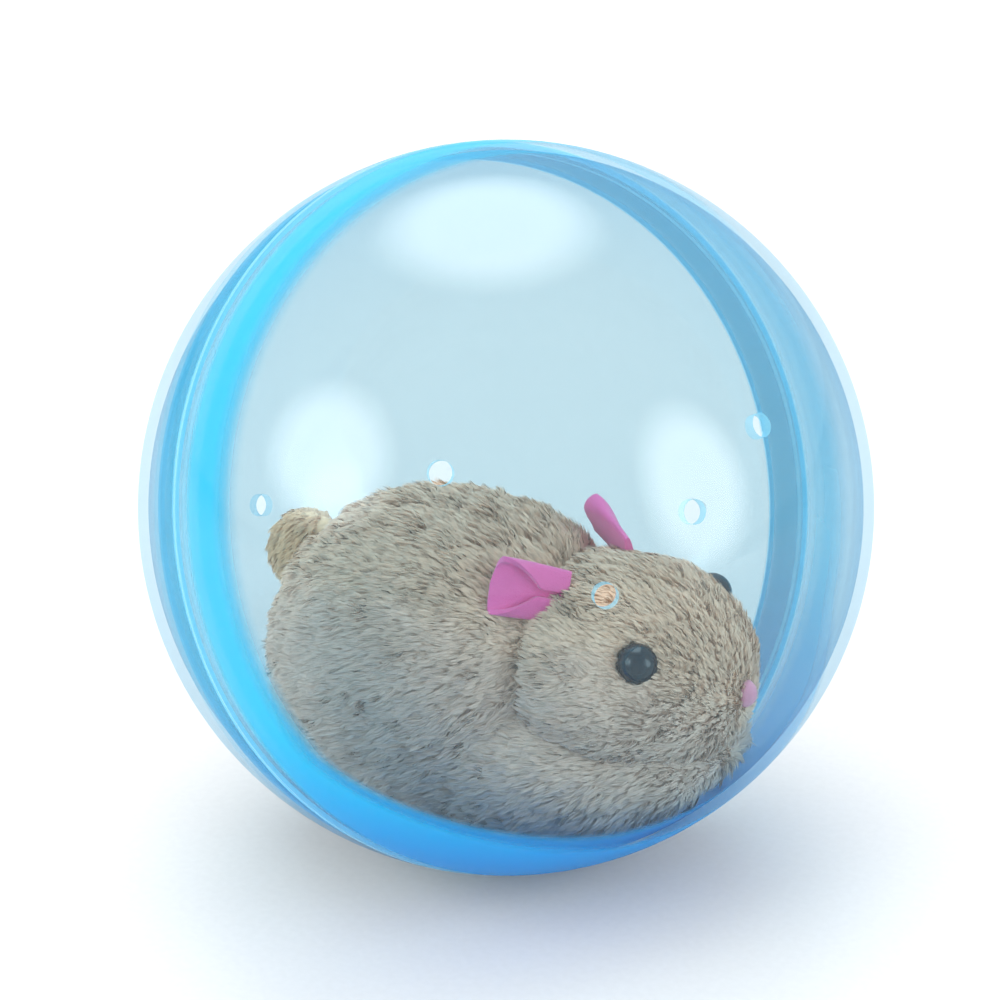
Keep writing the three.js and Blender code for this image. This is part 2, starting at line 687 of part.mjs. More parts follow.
function screw() {
  const head = post(SCREW_HEAD_RADIUS, [0, SCREW_HEAD_HEIGHT], 0, 0);
  const shank = post(SCREW_SHANK_RADIUS, [-SCREW_LENGTH, SCREW_HEAD_HEIGHT / 2], 0, 0);
  const slotTop = [SCREW_HEAD_HEIGHT / 2, SCREW_HEAD_HEIGHT + 1];
  const along = [-SCREW_SLOT_LENGTH / 2, SCREW_SLOT_LENGTH / 2];
  const across = [-SCREW_SLOT_WIDTH / 2, SCREW_SLOT_WIDTH / 2];
  return cut(joined(head, shank), block(along, across, slotTop), block(across, along, slotTop));
}

const screwHole = SCREW_SHANK_RADIUS + SEAT_GAP;
const screwPlaces = postXs.flatMap((x) => [[x, postY], [x, -postY]]);
screwPlaces.forEach(([x, y], i) => {
  add(`cover_screw_${i + 1}`, screw(), STEEL).position.set(x, y, plateTop + SEAT_GAP);
});
const doorScrew = add("battery_door_screw", screw(), STEEL);
doorScrew.position.set(DOOR_EAR_X, -postY, housingBottom - SEAT_GAP);
doorScrew.rotation.x = Math.PI;

// Battery door: a plate with a hooking tongue behind and a screw ear on the right side

const doorHalf = innerHalf - DOOR_MARGIN + SEAT_GAP;
const doorRear = batteryRear + DOOR_MARGIN;
const doorFront = bayFront - DOOR_MARGIN;

function doorPlate(gap) {
  const levels = [housingBottom - gap, housingBottom + DOOR_THICKNESS + gap];
  const plate = block([doorRear - gap, doorFront + gap], [-doorHalf - gap, doorHalf + gap], levels);
  const earHalf = DOOR_EAR_WIDTH / 2 + gap;
  const earSide = [-postY - POST_RADIUS - gap, 0];
  return plate.add(block([DOOR_EAR_X - earHalf, DOOR_EAR_X + earHalf], earSide, levels));
}

function batteryDoor() {
  const hookLevels = [floorTop + SEAT_GAP, floorTop + SEAT_GAP + HOOK_THICKNESS];
  const hookSides = [-HOOK_WIDTH / 2, HOOK_WIDTH / 2];
  const hookFront = doorRear + DOOR_MARGIN;
  const hook = block([batteryRear + SEAT_GAP, hookFront], hookSides, hookLevels);
  const heelLevels = [housingBottom + DOOR_THICKNESS / 2, hookLevels[1]];
  const heel = block([doorRear + SEAT_GAP, hookFront], hookSides, heelLevels);
  const hole = post(screwHole, [housingBottom - 1, floorTop + 1], DOOR_EAR_X, -postY);
  return cut(joined(doorPlate(0), hook, heel), hole);
}

add("battery_door", batteryDoor(), WHITE_PLASTIC);

// The seats of the idler's pin, in both side walls
function pinSeats() {
  const ends = [-pinEndY - SEAT_GAP, pinEndY + SEAT_GAP];
  return rod(IDLER_PIN_RADIUS + SEAT_GAP, ends, idlerX, idlerZ, SMALL_SEGMENTS);
}

// A screw boss with a web that joins it to the housing's side wall
function boss(levels, x, y) {
  const web = [outerHalf - HOUSING_WALL / 2, Math.abs(y)].map((part) => part * Math.sign(y));
  const webY = web[0] < web[1] ? web : [web[1], web[0]];
  return post(POST_RADIUS, levels, x, y).add(block([x - POST_RADIUS, x + POST_RADIUS], webY, levels));
}

// Housing tray

// The tray's side view
function trayOutline(top) {
  const chamferReach = gearReach + HOUSING_WALL;
  const chamferZ = axleZ + (chamferReach - outward[0] * (rearX - AXLE_X)) / outward[1];
  const chamferX = AXLE_X + (chamferReach - outward[1] * (housingBottom - axleZ)) / outward[0];
  return [
    [rearX, top],
    [rearX, chamferZ],
    [chamferX, housingBottom],
    [bayFront, housingBottom],
    [frontX, frontCornerZ],
    [frontX, top],
  ];
}

function rollerEar(sign) {
  const across = sign > 0 ? [earInside, earOutside] : [-earOutside, -earInside];
  const levels = [rollerZ - ROLLER_EAR_RADIUS, rollerZ + ROLLER_EAR_RADIUS];
  const arm = block([frontX - HOUSING_WALL, rollerX], across, levels);
  return arm.add(rod(ROLLER_EAR_RADIUS, across, rollerX, rollerZ));
}

function chassisTray() {
  const shell = cut(
    slab(trayOutline(partingZ), [-outerHalf, outerHalf]),
    slab(inset(trayOutline(partingZ + 2 * HOUSING_WALL), HOUSING_WALL), [-innerHalf, innerHalf]),
  );
  const intoWalls = [-innerHalf - HOUSING_WALL / 2, innerHalf + HOUSING_WALL / 2];
  const divider = block(
    [dividerX, dividerX + DIVIDER_THICKNESS],
    intoWalls,
    [housingBottom + HOUSING_WALL / 2, wireZ - WIRE_RADIUS - SEAT_GAP],
  );
  const deckFront = motorX + MOTOR_WIDTH / 4;
  const deck = block([dividerX, deckFront], intoWalls, [deckBottom, partingZ]);
  const posts = screwPlaces.map(([x, y]) => boss([partingZ - POST_HEIGHT, partingZ], x, y));
  const pilotLevels = [plateTop - SCREW_LENGTH - SEAT_GAP, partingZ + 1];
  const pilots = screwPlaces.map(([x, y]) => post(screwHole, pilotLevels, x, y));
  const doorTop = housingBottom + DOOR_THICKNESS + SEAT_GAP;
  const doorPost = boss([doorTop, doorTop + POST_HEIGHT], DOOR_EAR_X, -postY);
  const doorPilot = post(screwHole, [doorTop - 1, housingBottom + SCREW_LENGTH], DOOR_EAR_X, -postY);
  const slotHalf = (KNOB_LENGTH + SWITCH_TRAVEL) / 2 + SEAT_GAP;
  const knobSlot = block(
    [switchX - KNOB_WIDTH / 2 - SEAT_GAP, switchX + KNOB_WIDTH / 2 + SEAT_GAP],
    [SWITCH_Y - slotHalf, SWITCH_Y + slotHalf],
    [housingBottom - 1, floorTop + 1],
  );
  const gearSides = [fastY - GEAR_CLEARANCE, innerHalf];
  const gearRoom = (teeth, x, z) => rod(tipRadius(teeth) + GEAR_CLEARANCE, gearSides, x, z);
  const through = [-outerHalf - 1, outerHalf + 1];
  return cut(
    joined(shell, divider, deck, ...posts, doorPost, rollerEar(1), rollerEar(-1)),
    ...pilots,
    doorPilot,
    doorPlate(SEAT_GAP),
    knobSlot,
    gearRoom(idlerBigTeeth, idlerX, idlerZ),
    gearRoom(AXLE_TEETH, AXLE_X, axleZ),
    rod(AXLE_RADIUS + SEAT_GAP, through, AXLE_X, axleZ, SMALL_SEGMENTS),
    rod(ROLLER_AXLE_RADIUS + SEAT_GAP, through, rollerX, rollerZ, SMALL_SEGMENTS),
    pinSeats(),
  );
}

add("chassis_tray", chassisTray(), WHITE_PLASTIC);

// Housing cover: a flat lid over the batteries and a hump over the motor and gears

function humpOutline(bottom) {
  return [
    [rearX, bottom],
    [rearX, idlerZ + HOUSING_WALL + GEAR_CLEARANCE * 2],
    [idlerX - tipRadius(idlerBigTeeth) / 2, humpTop],
    [humpFront, humpTop],
    [humpFront, bottom],
  ];
}

function chassisCover() {
  const hump = slab(humpOutline(coverBase), [-outerHalf, outerHalf]);
  const lid = block([humpFront - HOUSING_WALL, frontX], [-outerHalf, outerHalf], [coverBase, plateTop]);
  const hollowOutline = inset(humpOutline(coverBase - 2 * HOUSING_WALL), HOUSING_WALL);
  const hollow = slab(hollowOutline, [-innerHalf, innerHalf]);
  const tabs = screwPlaces.map(([x, y]) => boss([coverBase, plateTop], x, y));
  const holes = screwPlaces.map(([x, y]) => post(screwHole, [coverBase - 1, plateTop + 1], x, y));
  return cut(joined(hump, lid, ...tabs), hollow, ...holes, pinSeats());
}

add("chassis_cover", chassisCover(), WHITE_PLASTIC);

// Slide switch: a body on the tray's floor, and a knob that reaches down through the floor

function switchBody() {
  const body = block(
    [switchX - SWITCH_WIDTH / 2, switchX + SWITCH_WIDTH / 2],
    [SWITCH_Y - SWITCH_LENGTH / 2, SWITCH_Y + SWITCH_LENGTH / 2],
    [switchBottom, switchBottom + SWITCH_HEIGHT],
  );
  const pocketX = KNOB_WIDTH / 2 + SEAT_GAP;
  const pocketY = (KNOB_LENGTH + SWITCH_TRAVEL) / 2 + KNOB_FLANGE + SEAT_GAP;
  const pocket = block(
    [switchX - pocketX, switchX + pocketX],
    [SWITCH_Y - pocketY, SWITCH_Y + pocketY],
    [switchBottom - 1, switchBottom + KNOB_FLANGE_HEIGHT + 2 * SEAT_GAP],
  );
  return cut(body, pocket);
}

function switchKnob() {
  const sides = [-KNOB_WIDTH / 2, KNOB_WIDTH / 2];
  const stemHalf = KNOB_LENGTH / 2;
  const flangeHalf = stemHalf + KNOB_FLANGE;
  const stemLevels = [housingBottom - KNOB_PROUD, switchBottom + SEAT_GAP];
  const flangeLevels = [switchBottom, switchBottom + KNOB_FLANGE_HEIGHT];
  const stem = block(sides, [-stemHalf, stemHalf], stemLevels);
  return stem.add(block(sides, [-flangeHalf, flangeHalf], flangeLevels));
}

add("switch_body", switchBody(), BLACK_PLASTIC);
add("switch_knob", switchKnob(), BLACK_PLASTIC).position.set(switchX, knobRestY, 0);

// Wires, held inside the housing along their whole way

function wire(points) {
  const stops = points.map((point) => new THREE.Vector3(...point));
  const way = new THREE.CatmullRomCurve3(stops, false, "catmullrom", WIRE_TENSION);
  return tube(way, WIRE_RADIUS, WIRE_STEPS, WIRE_SIDES);
}

const wireStart = contactX - SEAT_GAP;
const switchTop = switchBottom + SWITCH_HEIGHT + SEAT_GAP;
const terminals = [SWITCH_Y - TERMINAL_SPACING / 2, SWITCH_Y + TERMINAL_SPACING / 2];
const capMiddle = capFront - MOTOR_CAP_LENGTH / 2;
const motorBehind = motorX - MOTOR_WIDTH / 2 - SEAT_GAP;
const riseX = motorX + (MOTOR_WIDTH + WIRE_SPACE) / 2;

const blackWay = [
  [wireStart, -sideWireY, wireZ],
  [wireStart / 2, -sideWireY, wireZ],
  [dividerX - WIRE_RADIUS, -sideWireY, wireZ],
  [switchX, -sideWireY + WIRE_BEND, wireZ - WIRE_BEND],
  [switchX, terminals[0] - WIRE_RADIUS / 2, switchTop + WIRE_BEND],
  [switchX, terminals[0], switchTop],
];
const switchWay = [
  [switchX, terminals[1], switchTop],
  [switchX, terminals[1] - WIRE_RADIUS / 2, switchTop + WIRE_BEND],
  [AXLE_X, SWITCH_Y, axleZ + AXLE_RADIUS + 2 * WIRE_BEND],
  [idlerX - IDLER_PIN_RADIUS - 2 * WIRE_BEND, motorRear + WIRE_BEND, idlerZ],
  [motorBehind - WIRE_SPACE, capMiddle, motorZ],
  [motorBehind, capMiddle, motorZ],
];
const redWay = [
  [wireStart, 0, wireZ],
  [wireStart / 2, 0, wireZ],
  [riseX + WIRE_SPACE / 2, 0, wireZ],
  [riseX, 0, partingZ],
  [riseX, -WIRE_BEND, partingZ + 2 * WIRE_BEND],
  [riseX, motorRear / 2, motorZ - WIRE_BEND],
  [riseX, capMiddle, motorZ],
];
add("wire_black", wire(blackWay), BLACK_WIRE);
add("wire_switch", wire(switchWay), BLACK_WIRE);
add("wire_red", wire(redWay), RED_WIRE);

// Plush: each form is a rounded blob, cut by the larger ones

function blobPoint({ centre, radii, power }, toward, grow = 0) {
  const grown = radii.map((radius) => radius + grow);
  const terms = toward.map((part, i) => Math.abs(part / grown[i]) ** power);
  const reach = (terms[0] + terms[1] + terms[2]) ** (-1 / power);
  return toward.map((part, i) => centre[i] + part * reach);
}

function blob(form, grow = 0, segments = PLUSH_SEGMENTS, rings = PLUSH_RINGS) {
  const geometry = new THREE.SphereGeometry(1, segments, rings);
  const position = geometry.getAttribute("position");
  for (let i = 0; i < position.count; i++) {
    const toward = [position.getX(i), position.getY(i), position.getZ(i)];
    position.setXYZ(i, ...blobPoint(form, toward, grow));
  }
  return solid(geometry);
}

const furReach = shellInside - FUR_PILE;
const inBall = () => blob({ centre: [0, 0, centreZ], radii: [furReach, furReach, furReach], power: 2 });
const plushBodyForm = (grow) => blob(RUMP, grow).add(blob(BELLY, grow));

// The room that the drive unit takes inside the plush, open underneath
function driveRoom() {
  const gap = PLUSH_GAP;
  const sides = [-outerHalf - gap, outerHalf + gap];
  const room = block([rearX - gap, frontX + gap], sides, [-1, plateTop + gap]);
  const forkHalf = rollerAxleEnd + gap;
  const fork = block(
    [frontX, rollerX + ROLLER_RADIUS + gap],
    [-forkHalf, forkHalf],
    [-1, rollerZ + ROLLER_RADIUS + gap],
  );
  const hump = slab(inset(humpOutline(coverBase - 1), -gap), sides);
  const sideReach = postY + POST_RADIUS + gap;
  const postReach = POST_RADIUS + gap;
  const screwTop = plateTop + SCREW_HEAD_HEIGHT + 2 * gap;
  const screwRooms = postXs.map((x) =>
    block([x - postReach, x + postReach], [-sideReach, sideReach], [-1, screwTop]),
  );
  const earHalf = DOOR_EAR_WIDTH / 2 + gap;
  const earRoom = block(
    [DOOR_EAR_X - earHalf, DOOR_EAR_X + earHalf],
    [-sideReach, 0],
    [-1, housingBottom + DOOR_THICKNESS + POST_HEIGHT + 2 * gap],
  );
  const wellHalf = axleEndY + gap;
  const wellRadius = WHEEL_RADIUS + 2 * gap;
  const well = joined(
    rod(wellRadius, [-wellHalf, wellHalf], AXLE_X, axleZ),
    block([AXLE_X - wellRadius, AXLE_X + wellRadius], [-wellHalf, wellHalf], [-1, axleZ]),
  );
  return joined(room, fork, hump, ...screwRooms, earRoom, well);
}

const bodyRoom = driveRoom();
add("plush_body", cut(plushBodyForm(0).intersect(inBall()), bodyRoom), CREAM_FUR);

const eyes = [-1, 1].map((side) => {
  const toward = [EYE_TOWARD[0], side * EYE_TOWARD[1], EYE_TOWARD[2]];
  const surface = new THREE.Vector3(...blobPoint(HEAD, toward));
  const inward = new THREE.Vector3(...HEAD.centre).sub(surface).setLength(EYE_SUNK);
  return { name: side < 0 ? "eye_right" : "eye_left", centre: surface.add(inward) };
});

function ball(radius, centre) {
  const bead = new THREE.SphereGeometry(radius, BEAD_SEGMENTS, BEAD_RINGS);
  return bead.translate(centre.x, centre.y, centre.z);
}

add(
  "plush_head",
  cut(
    blob(HEAD).intersect(inBall()),
    plushBodyForm(SEAT_GAP),
    bodyRoom,
    ...eyes.map(({ centre }) => solid(ball(EYE_RADIUS + SEAT_GAP, centre))),
  ),
  TAN_FUR,
);
for (const { name, centre } of eyes) add(name, ball(EYE_RADIUS, centre), BEAD);

const noseForm = { centre: blobPoint(HEAD, NOSE.toward), radii: NOSE.radii, power: 2 };
add("nose", cut(blob(noseForm, 0, BEAD_SEGMENTS, BEAD_RINGS), blob(HEAD, SEAT_GAP)), NOSE_PINK);
const tailForm = { centre: blobPoint(RUMP, TAIL.toward), radii: TAIL.radii, power: 2 };
add("tail", cut(blob(tailForm, 0, BEAD_SEGMENTS, BEAD_RINGS), plushBodyForm(SEAT_GAP)), TAIL_BROWN);

// A folded felt ear: a flared strip with a crease along its middle
function ear(side) {
  const root = new THREE.Vector3(...blobPoint(HEAD, [EAR_TOWARD[0], side * EAR_TOWARD[1], EAR_TOWARD[2]]));
  const along = new THREE.Vector3(EAR_REACH[0], side * EAR_REACH[1], EAR_REACH[2]);
  const slant = new THREE.Vector3(side * EAR_ACROSS[0], EAR_ACROSS[1], side * EAR_ACROSS[2]);
  const raised = new THREE.Vector3().crossVectors(along, slant).normalize();
  const across = new THREE.Vector3().crossVectors(raised, along).normalize();
  const section = [[-1, 0], [0, 0], [1, 0], [1, 1], [0, 1], [-1, 1]];
  const vertices = [];
  for (let i = 0; i <= EAR_STEPS; i++) {
    const t = i / EAR_STEPS;
    const spread = Math.sin((t * Math.PI) / 2);
    const half = (EAR_ROOT_WIDTH + (EAR_TIP_WIDTH - EAR_ROOT_WIDTH) * spread) / 2;
    for (const [sideways, thick] of section) {
      const lift = Math.abs(sideways) * half * EAR_FOLD + thick * FELT;
      const point = root.clone().addScaledVector(along, t);
      vertices.push(point.addScaledVector(across, sideways * half).addScaledVector(raised, lift));
    }
  }
  const faces = [];
  const ring = section.length;
  for (let i = 0; i < EAR_STEPS; i++) {
    for (let j = 0; j < ring; j++) {
      const a = i * ring + j;
      const b = i * ring + ((j + 1) % ring);
      faces.push([a, b, b + ring], [a, b + ring, a + ring]);
    }
  }
  for (const [start, flip] of [[0, true], [EAR_STEPS * ring, false]]) {
    for (const [a, b, c] of [[0, 1, 4], [0, 4, 5], [1, 2, 3], [1, 3, 4]]) {
      faces.push(flip ? [start + c, start + b, start + a] : [start + a, start + b, start + c]);
    }
  }
  const sheet = new THREE.BufferGeometry().setFromPoints(faces.flat().map((index) => vertices[index]));
  return cut(solid(sheet), blob(HEAD, SEAT_GAP), plushBodyForm(SEAT_GAP));
}

add("ear_left", ear(1), PINK_FELT);
add("ear_right", ear(-1), PINK_FELT);

export default model;
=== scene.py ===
"""The looks of a motorized pet ball: a clear blue ball with a plush hamster on a drive unit inside."""

import json
import math

import bpy
import numpy as np
from mathutils import Matrix, Vector, kdtree

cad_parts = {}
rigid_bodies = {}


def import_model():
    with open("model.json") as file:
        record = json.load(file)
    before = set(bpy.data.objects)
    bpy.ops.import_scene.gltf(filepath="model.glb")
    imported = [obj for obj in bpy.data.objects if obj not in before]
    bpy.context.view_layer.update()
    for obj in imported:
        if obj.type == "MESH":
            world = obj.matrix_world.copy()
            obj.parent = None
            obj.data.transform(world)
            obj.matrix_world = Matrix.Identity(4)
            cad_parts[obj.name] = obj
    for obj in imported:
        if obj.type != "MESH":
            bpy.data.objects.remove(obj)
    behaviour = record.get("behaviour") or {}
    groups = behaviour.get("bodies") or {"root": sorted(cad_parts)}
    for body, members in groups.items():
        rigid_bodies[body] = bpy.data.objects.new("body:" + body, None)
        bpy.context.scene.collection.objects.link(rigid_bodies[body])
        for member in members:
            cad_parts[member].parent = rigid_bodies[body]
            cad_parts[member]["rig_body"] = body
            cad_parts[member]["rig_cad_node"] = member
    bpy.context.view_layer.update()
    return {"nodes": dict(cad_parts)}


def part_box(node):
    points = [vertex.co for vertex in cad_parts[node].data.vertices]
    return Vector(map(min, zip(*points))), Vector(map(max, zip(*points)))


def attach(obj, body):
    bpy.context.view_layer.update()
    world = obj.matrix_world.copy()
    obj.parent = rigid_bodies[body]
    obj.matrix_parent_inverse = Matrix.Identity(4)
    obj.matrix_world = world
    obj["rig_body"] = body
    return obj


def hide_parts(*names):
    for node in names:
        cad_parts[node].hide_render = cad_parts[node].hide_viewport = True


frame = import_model()

bl_info = {
    "name": "Motorized pet ball",
    "version": (1, 0, 0),
    "blender": (4, 5, 0),
    "location": "3D View > Sidebar > Pet ball",
    "description": "Builds the looks of a motorized pet ball round its fixed frame",
    "category": "Add Mesh",
}

MM = 0.001

# The ball's axes: the seam's plane has its normal along POLE, and the ball stands on its flat.
POLE_AZIMUTH = math.radians(60)
POLE_ELEVATION = math.radians(22)
FLOOR_FLAT = 0.12 * MM
POLE = Vector((
    math.sin(POLE_AZIMUTH) * math.cos(POLE_ELEVATION),
    -math.cos(POLE_AZIMUTH) * math.cos(POLE_ELEVATION),
    math.sin(POLE_ELEVATION),
))
LEVEL = Vector((math.cos(POLE_AZIMUTH), math.sin(POLE_AZIMUTH), 0))
UPWARD = POLE.cross(LEVEL)

# The vent holes of the front half, by angle from the pole and turn round it, in degrees
FRONT_VENTS = ((2.5, 196), (16, 33), (20.4, 208.3), (40, 159.7))
REAR_VENT_TURN = 130
LUG_TURNS = (-92, 88)

# The blue that the shells gather, in millimetres along the pole from the seam: a band that fades in and
# out, and goes further from the seam low down, then the overlap behind the seam and the seam's own line
BAND_FADES_IN = (3.4, 6.0)
BAND_FADES_OUT = (16.5, 11.0)
BAND_WIDENS_BY = 13
BAND_WIDENS_BETWEEN = (42, 22)
# Painted shade: low down the band is made stronger, standing in for the shade at the ball's bottom
BAND_STRONGER_BETWEEN = (62, 30)
BAND_WEAKER_BETWEEN = (-5, 40)
BAND_STRENGTH = (0.72, 0.94)
BAND_PALING = (1.0, 0.5)
OVERLAP_BACK = (-9.2, -8.3)
OVERLAP_FRONT = (5.5, 3.2)
SEAM_BACK = (-0.9, -0.2)
SEAM_FRONT = (1.1, 0.3)
# Painted shade: the levels, in millimetres, between which the band turns to its deeper blue
LOW_SHADE_BETWEEN = (50, 12)

# How much each stripe hides of what lies behind it, and the share of that which it keeps in shadows
VEIL_ALL_OVER = 0.006
OVERLAP_VEIL = 0.22
SEAM_VEIL = 0.2
EDGE_VEIL = 0.45
SHADOW_SHARE = 0.35
POLYSTYRENE_IOR = 1.59

# The tint where the wall is seen at a slant and how late it comes in, the painted highlight on the seam
# and the cut edges, and how much a face mirrors head on and at a graze, with what the material's own law
# gives head on
SLANTED_TINT = "#CEE4F0"
SLANT_POWER = 2.5
EDGE_HIGHLIGHT = "#A9ECFF"
SHEEN = (0.043, 0.36)
FRESNEL_HEAD_ON = 0.05

# The plush's colours: between which levels the flank turns into the back, in millimetres, how much
# lower a place counts for each millimetre off the middle, and how far that strays; then the spacing of
# the streaks and the tufts, how smoky the tufts are, how dark the painted shade at the roots is, and how
# smoky whole locks are
BACK_BETWEEN = (12, 38)
BACK_SLOPE = 1.2
BACK_STRAYS_BY = 14
STREAK_SPACING = 7
TUFT_SPACING = 0.8
TUFT_SMOKE = 0.4
ROOT_SHADE = 0.45
LOCK_SMOKE = 0.5

# How a tuft stands: its shares of straight up, along the coat and chance, the wavelengths and shares of
# the coat's swirls, and how far its upper part bends along the coat and sinks
TUFT_UPRIGHT = 0.8
TUFT_ALONG = 0.75
TUFT_CHANCE = 0.13
TUFT_SWIRLS = ((7, 0.3), (2.2, 0.28))
TIP_BENDS = 0.45
TIP_SINKS = 0.12

# A tuft's half widths at its root and its middle, as shares of its width, how much painted root shade there
# is at each of its five points, and how much of the skin's and of its own direction it is shaded by
BLADE_HALF_WIDTHS = (0.5, 0.42)
BLADE_ROOT_SHADE = (1, 1, 0.25, 0.25, 0)
SKIN_SHADING = 0.62
BLADE_SHADING = 0.38

# How much of the way to their lock's own tuft the others are drawn, at half their length and at the tip
LOCK_MIDDLE = 0.3
LOCK_TIP = 0.6

# Where the fur stops, in millimetres: how far it starts under the skin, the clear space that it leaves
# before the wall, the skin that counts as pressed to the wall, and the sewn seam's shorter fur
ROOT_DEPTH = 0.3
WALL_CLEARANCE = 0.45
PRESSED_WITHIN = 3.4
SEWN_HALF_WIDTH = 1.1
SEWN_SHORTER_BY = 0.6

MOST_TUFTS = 60000

# Felt's fibres on the ears and on the small nose, in millimetres
EAR_FIBRE = 0.35
NOSE_FIBRE = 0.25

# Spacing of the soft clouds in a moulded colour, in millimetres
CLOUDING = 9

# The stuffed toy's forms, in millimetres: centre, half sizes and the power that squares them off, then
# the nose's tip, where the tail starts, and the grain of the small stuffed pieces
RUMP = ((-11, 0, 32), (30, 28, 27), 2.4)
BELLY = ((10, 0, 23), (34, 26, 16), 2.2)
HEAD = ((22, 0, 37), (23, 22, 18.5), 2.1)
NOSE_TIP = (45, 0, 34)
TAIL_START = -36
BIT_VOXEL = 0.35

# Each ear's side and the direction of its root from the head's centre, then the felt, in millimetres
EARS = (("left", 1, (-4.1, 10.6, 16.5)), ("right", -1, (-6.5, -9, 15.3)))
EAR_THICKNESS = 0.9
EAR_ROUNDING = 0.22


def linear(code):
    """A colour given as sRGB hex, as the linear red, green and blue that Blender works in."""
    parts = [int(code[i:i + 2], 16) / 255 for i in (1, 3, 5)]
    return tuple(p / 12.92 if p <= 0.04045 else ((p + 0.055) / 1.055) ** 2.4 for p in parts)


def rgba(colour):
    return (*colour, 1.0)


# Settings that a user would change


class BallSettings(bpy.types.PropertyGroup):
    diameter: bpy.props.FloatProperty(
        name="Diameter", description="Outside diameter of the ball", default=0.125, unit="LENGTH")
    wall: bpy.props.FloatProperty(
        name="Wall", description="Thickness of the shells", default=0.0018, unit="LENGTH")
    tongue_wall: bpy.props.FloatProperty(
        name="Tongue wall", description="Thickness of the tongue inside the seam",
        default=0.0008, unit="LENGTH")
    tongue_reach: bpy.props.FloatProperty(
        name="Tongue reach", description="How far the tongue goes past the seam",
        default=0.0083, unit="LENGTH")
    gap: bpy.props.FloatProperty(
        name="Gap", description="Clearance between the two shells", default=0.0003, unit="LENGTH")
    vent: bpy.props.FloatProperty(
        name="Vent", description="Diameter of the vent holes", default=0.004, unit="LENGTH")
    lug_width: bpy.props.FloatProperty(
        name="Lug width", description="Width of the locating lugs", default=0.0053, unit="LENGTH")
    lug_reach: bpy.props.FloatProperty(
        name="Lug reach", description="How far a lug goes past the seam", default=0.0025, unit="LENGTH")
    tint: bpy.props.FloatVectorProperty(
        name="Tint", description="What one face of the wall lets through", subtype="COLOR",
        default=linear("#E8F1F4"))
    band: bpy.props.FloatVectorProperty(
        name="Band", description="Colour that the moulded band gathers", subtype="COLOR",
        default=linear("#00CBEC"))
    # Painted shade: the band's deeper blue low down stands in for the shade at the ball's bottom
    shaded_band: bpy.props.FloatVectorProperty(
        name="Deep band", description="Colour of the band low down, where it lies thickest", subtype="COLOR",
        default=linear("#00A4E8"))


class PlushSettings(bpy.types.PropertyGroup):
    pile: bpy.props.FloatProperty(
        name="Pile", description="Length of the fur", default=0.0027, unit="LENGTH")
    strand: bpy.props.FloatProperty(
        name="Strand", description="Width of a drawn tuft of fur", default=0.00018, unit="LENGTH")
    per_square_mm: bpy.props.FloatProperty(
        name="Tufts", description="Drawn tufts of fur on a square millimetre", default=20.0, min=0.5)
    lock_area: bpy.props.FloatProperty(
        name="Lock", description="Skin whose tufts draw together into one lock",
        default=0.7e-6, precision=8, unit="AREA")
    voxel: bpy.props.FloatProperty(
        name="Voxel", description="Grain of the stuffed form", default=0.001, unit="LENGTH")
    back: bpy.props.FloatVectorProperty(
        name="Back", description="Fur on the back and crown", subtype="COLOR", default=linear("#FFDBBE"))
    flank: bpy.props.FloatVectorProperty(
        name="Flank", description="Fur on the sides and cheeks", subtype="COLOR", default=linear("#FBDCC9"))
    # Painted shade: this colour also darkens the roots of the tufts, besides the real smoky streaks
    smoke_and_root_shade: bpy.props.FloatVectorProperty(
        name="Smoke", description="Darker roots and streaks", subtype="COLOR", default=linear("#AE9785"))
    tail: bpy.props.FloatVectorProperty(
        name="Tail", description="Fur of the tail", subtype="COLOR", default=linear("#FFD6AC"))
    nose: bpy.props.FloatVectorProperty(
        name="Nose", description="Flock of the nose", subtype="COLOR", default=linear("#F7A3BC"))
    felt: bpy.props.FloatVectorProperty(
        name="Felt", description="Felt of the ears", subtype="COLOR", default=linear("#FF74B6"))


def ball_settings():
    return bpy.context.scene.pet_ball


def plush_settings():
    return bpy.context.scene.pet_plush


def centre():
    return Vector((0, 0, ball_settings().diameter / 2 - FLOOR_FLAT))


def shell_frame():
    """From the seam's own axes, with the pole along Z, to the row's axes."""
    turn = Matrix((LEVEL, UPWARD, POLE)).transposed().to_4x4()
    return Matrix.Translation(centre()) @ turn


# Modelling helpers


def leave_edit():
    if bpy.context.object and bpy.context.object.mode != "OBJECT":
        bpy.ops.object.mode_set(mode="OBJECT")


def clear_selection():
    leave_edit()
    bpy.ops.object.select_all(action="DESELECT")


def activate(piece):
    clear_selection()
    piece.select_set(True)
    bpy.context.view_layer.objects.active = piece


def named(name):
    """Names the piece that an operator has just added."""
    piece = bpy.context.object
    piece.name = piece.data.name = name
    return piece


def edit_all(piece):
    activate(piece)
    bpy.ops.object.mode_set(mode="EDIT")
    bpy.ops.mesh.select_all(action="SELECT")


def modify(piece, kind, **settings):
    modifier = piece.modifiers.new(kind.title(), kind)
    for key, value in settings.items():
        setattr(modifier, key, value)
    activate(piece)
    bpy.ops.object.modifier_apply(modifier=modifier.name)


def carve(piece, cutter, operation="DIFFERENCE"):
    modify(piece, "BOOLEAN", object=cutter, operation=operation, solver="EXACT")
    bpy.data.objects.remove(cutter)


def place(piece, matrix):
    piece.data.transform(matrix)
    piece.data.update()


def smooth(piece, degrees):
    activate(piece)
    bpy.ops.object.shade_smooth_by_angle(angle=math.radians(degrees))


def dress(piece, material):
    piece.data.materials.clear()
    piece.data.materials.append(material)


def finish_piece(piece, body, material, slot, *nodes):
    dress(piece, material)
    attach(piece, body)
    if nodes:
        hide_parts(*nodes)


# Material helpers


def material(name):
    made = bpy.data.materials.get(name) or bpy.data.materials.new(name)
    made.use_nodes = True
    made.node_tree.nodes.clear()
    return made


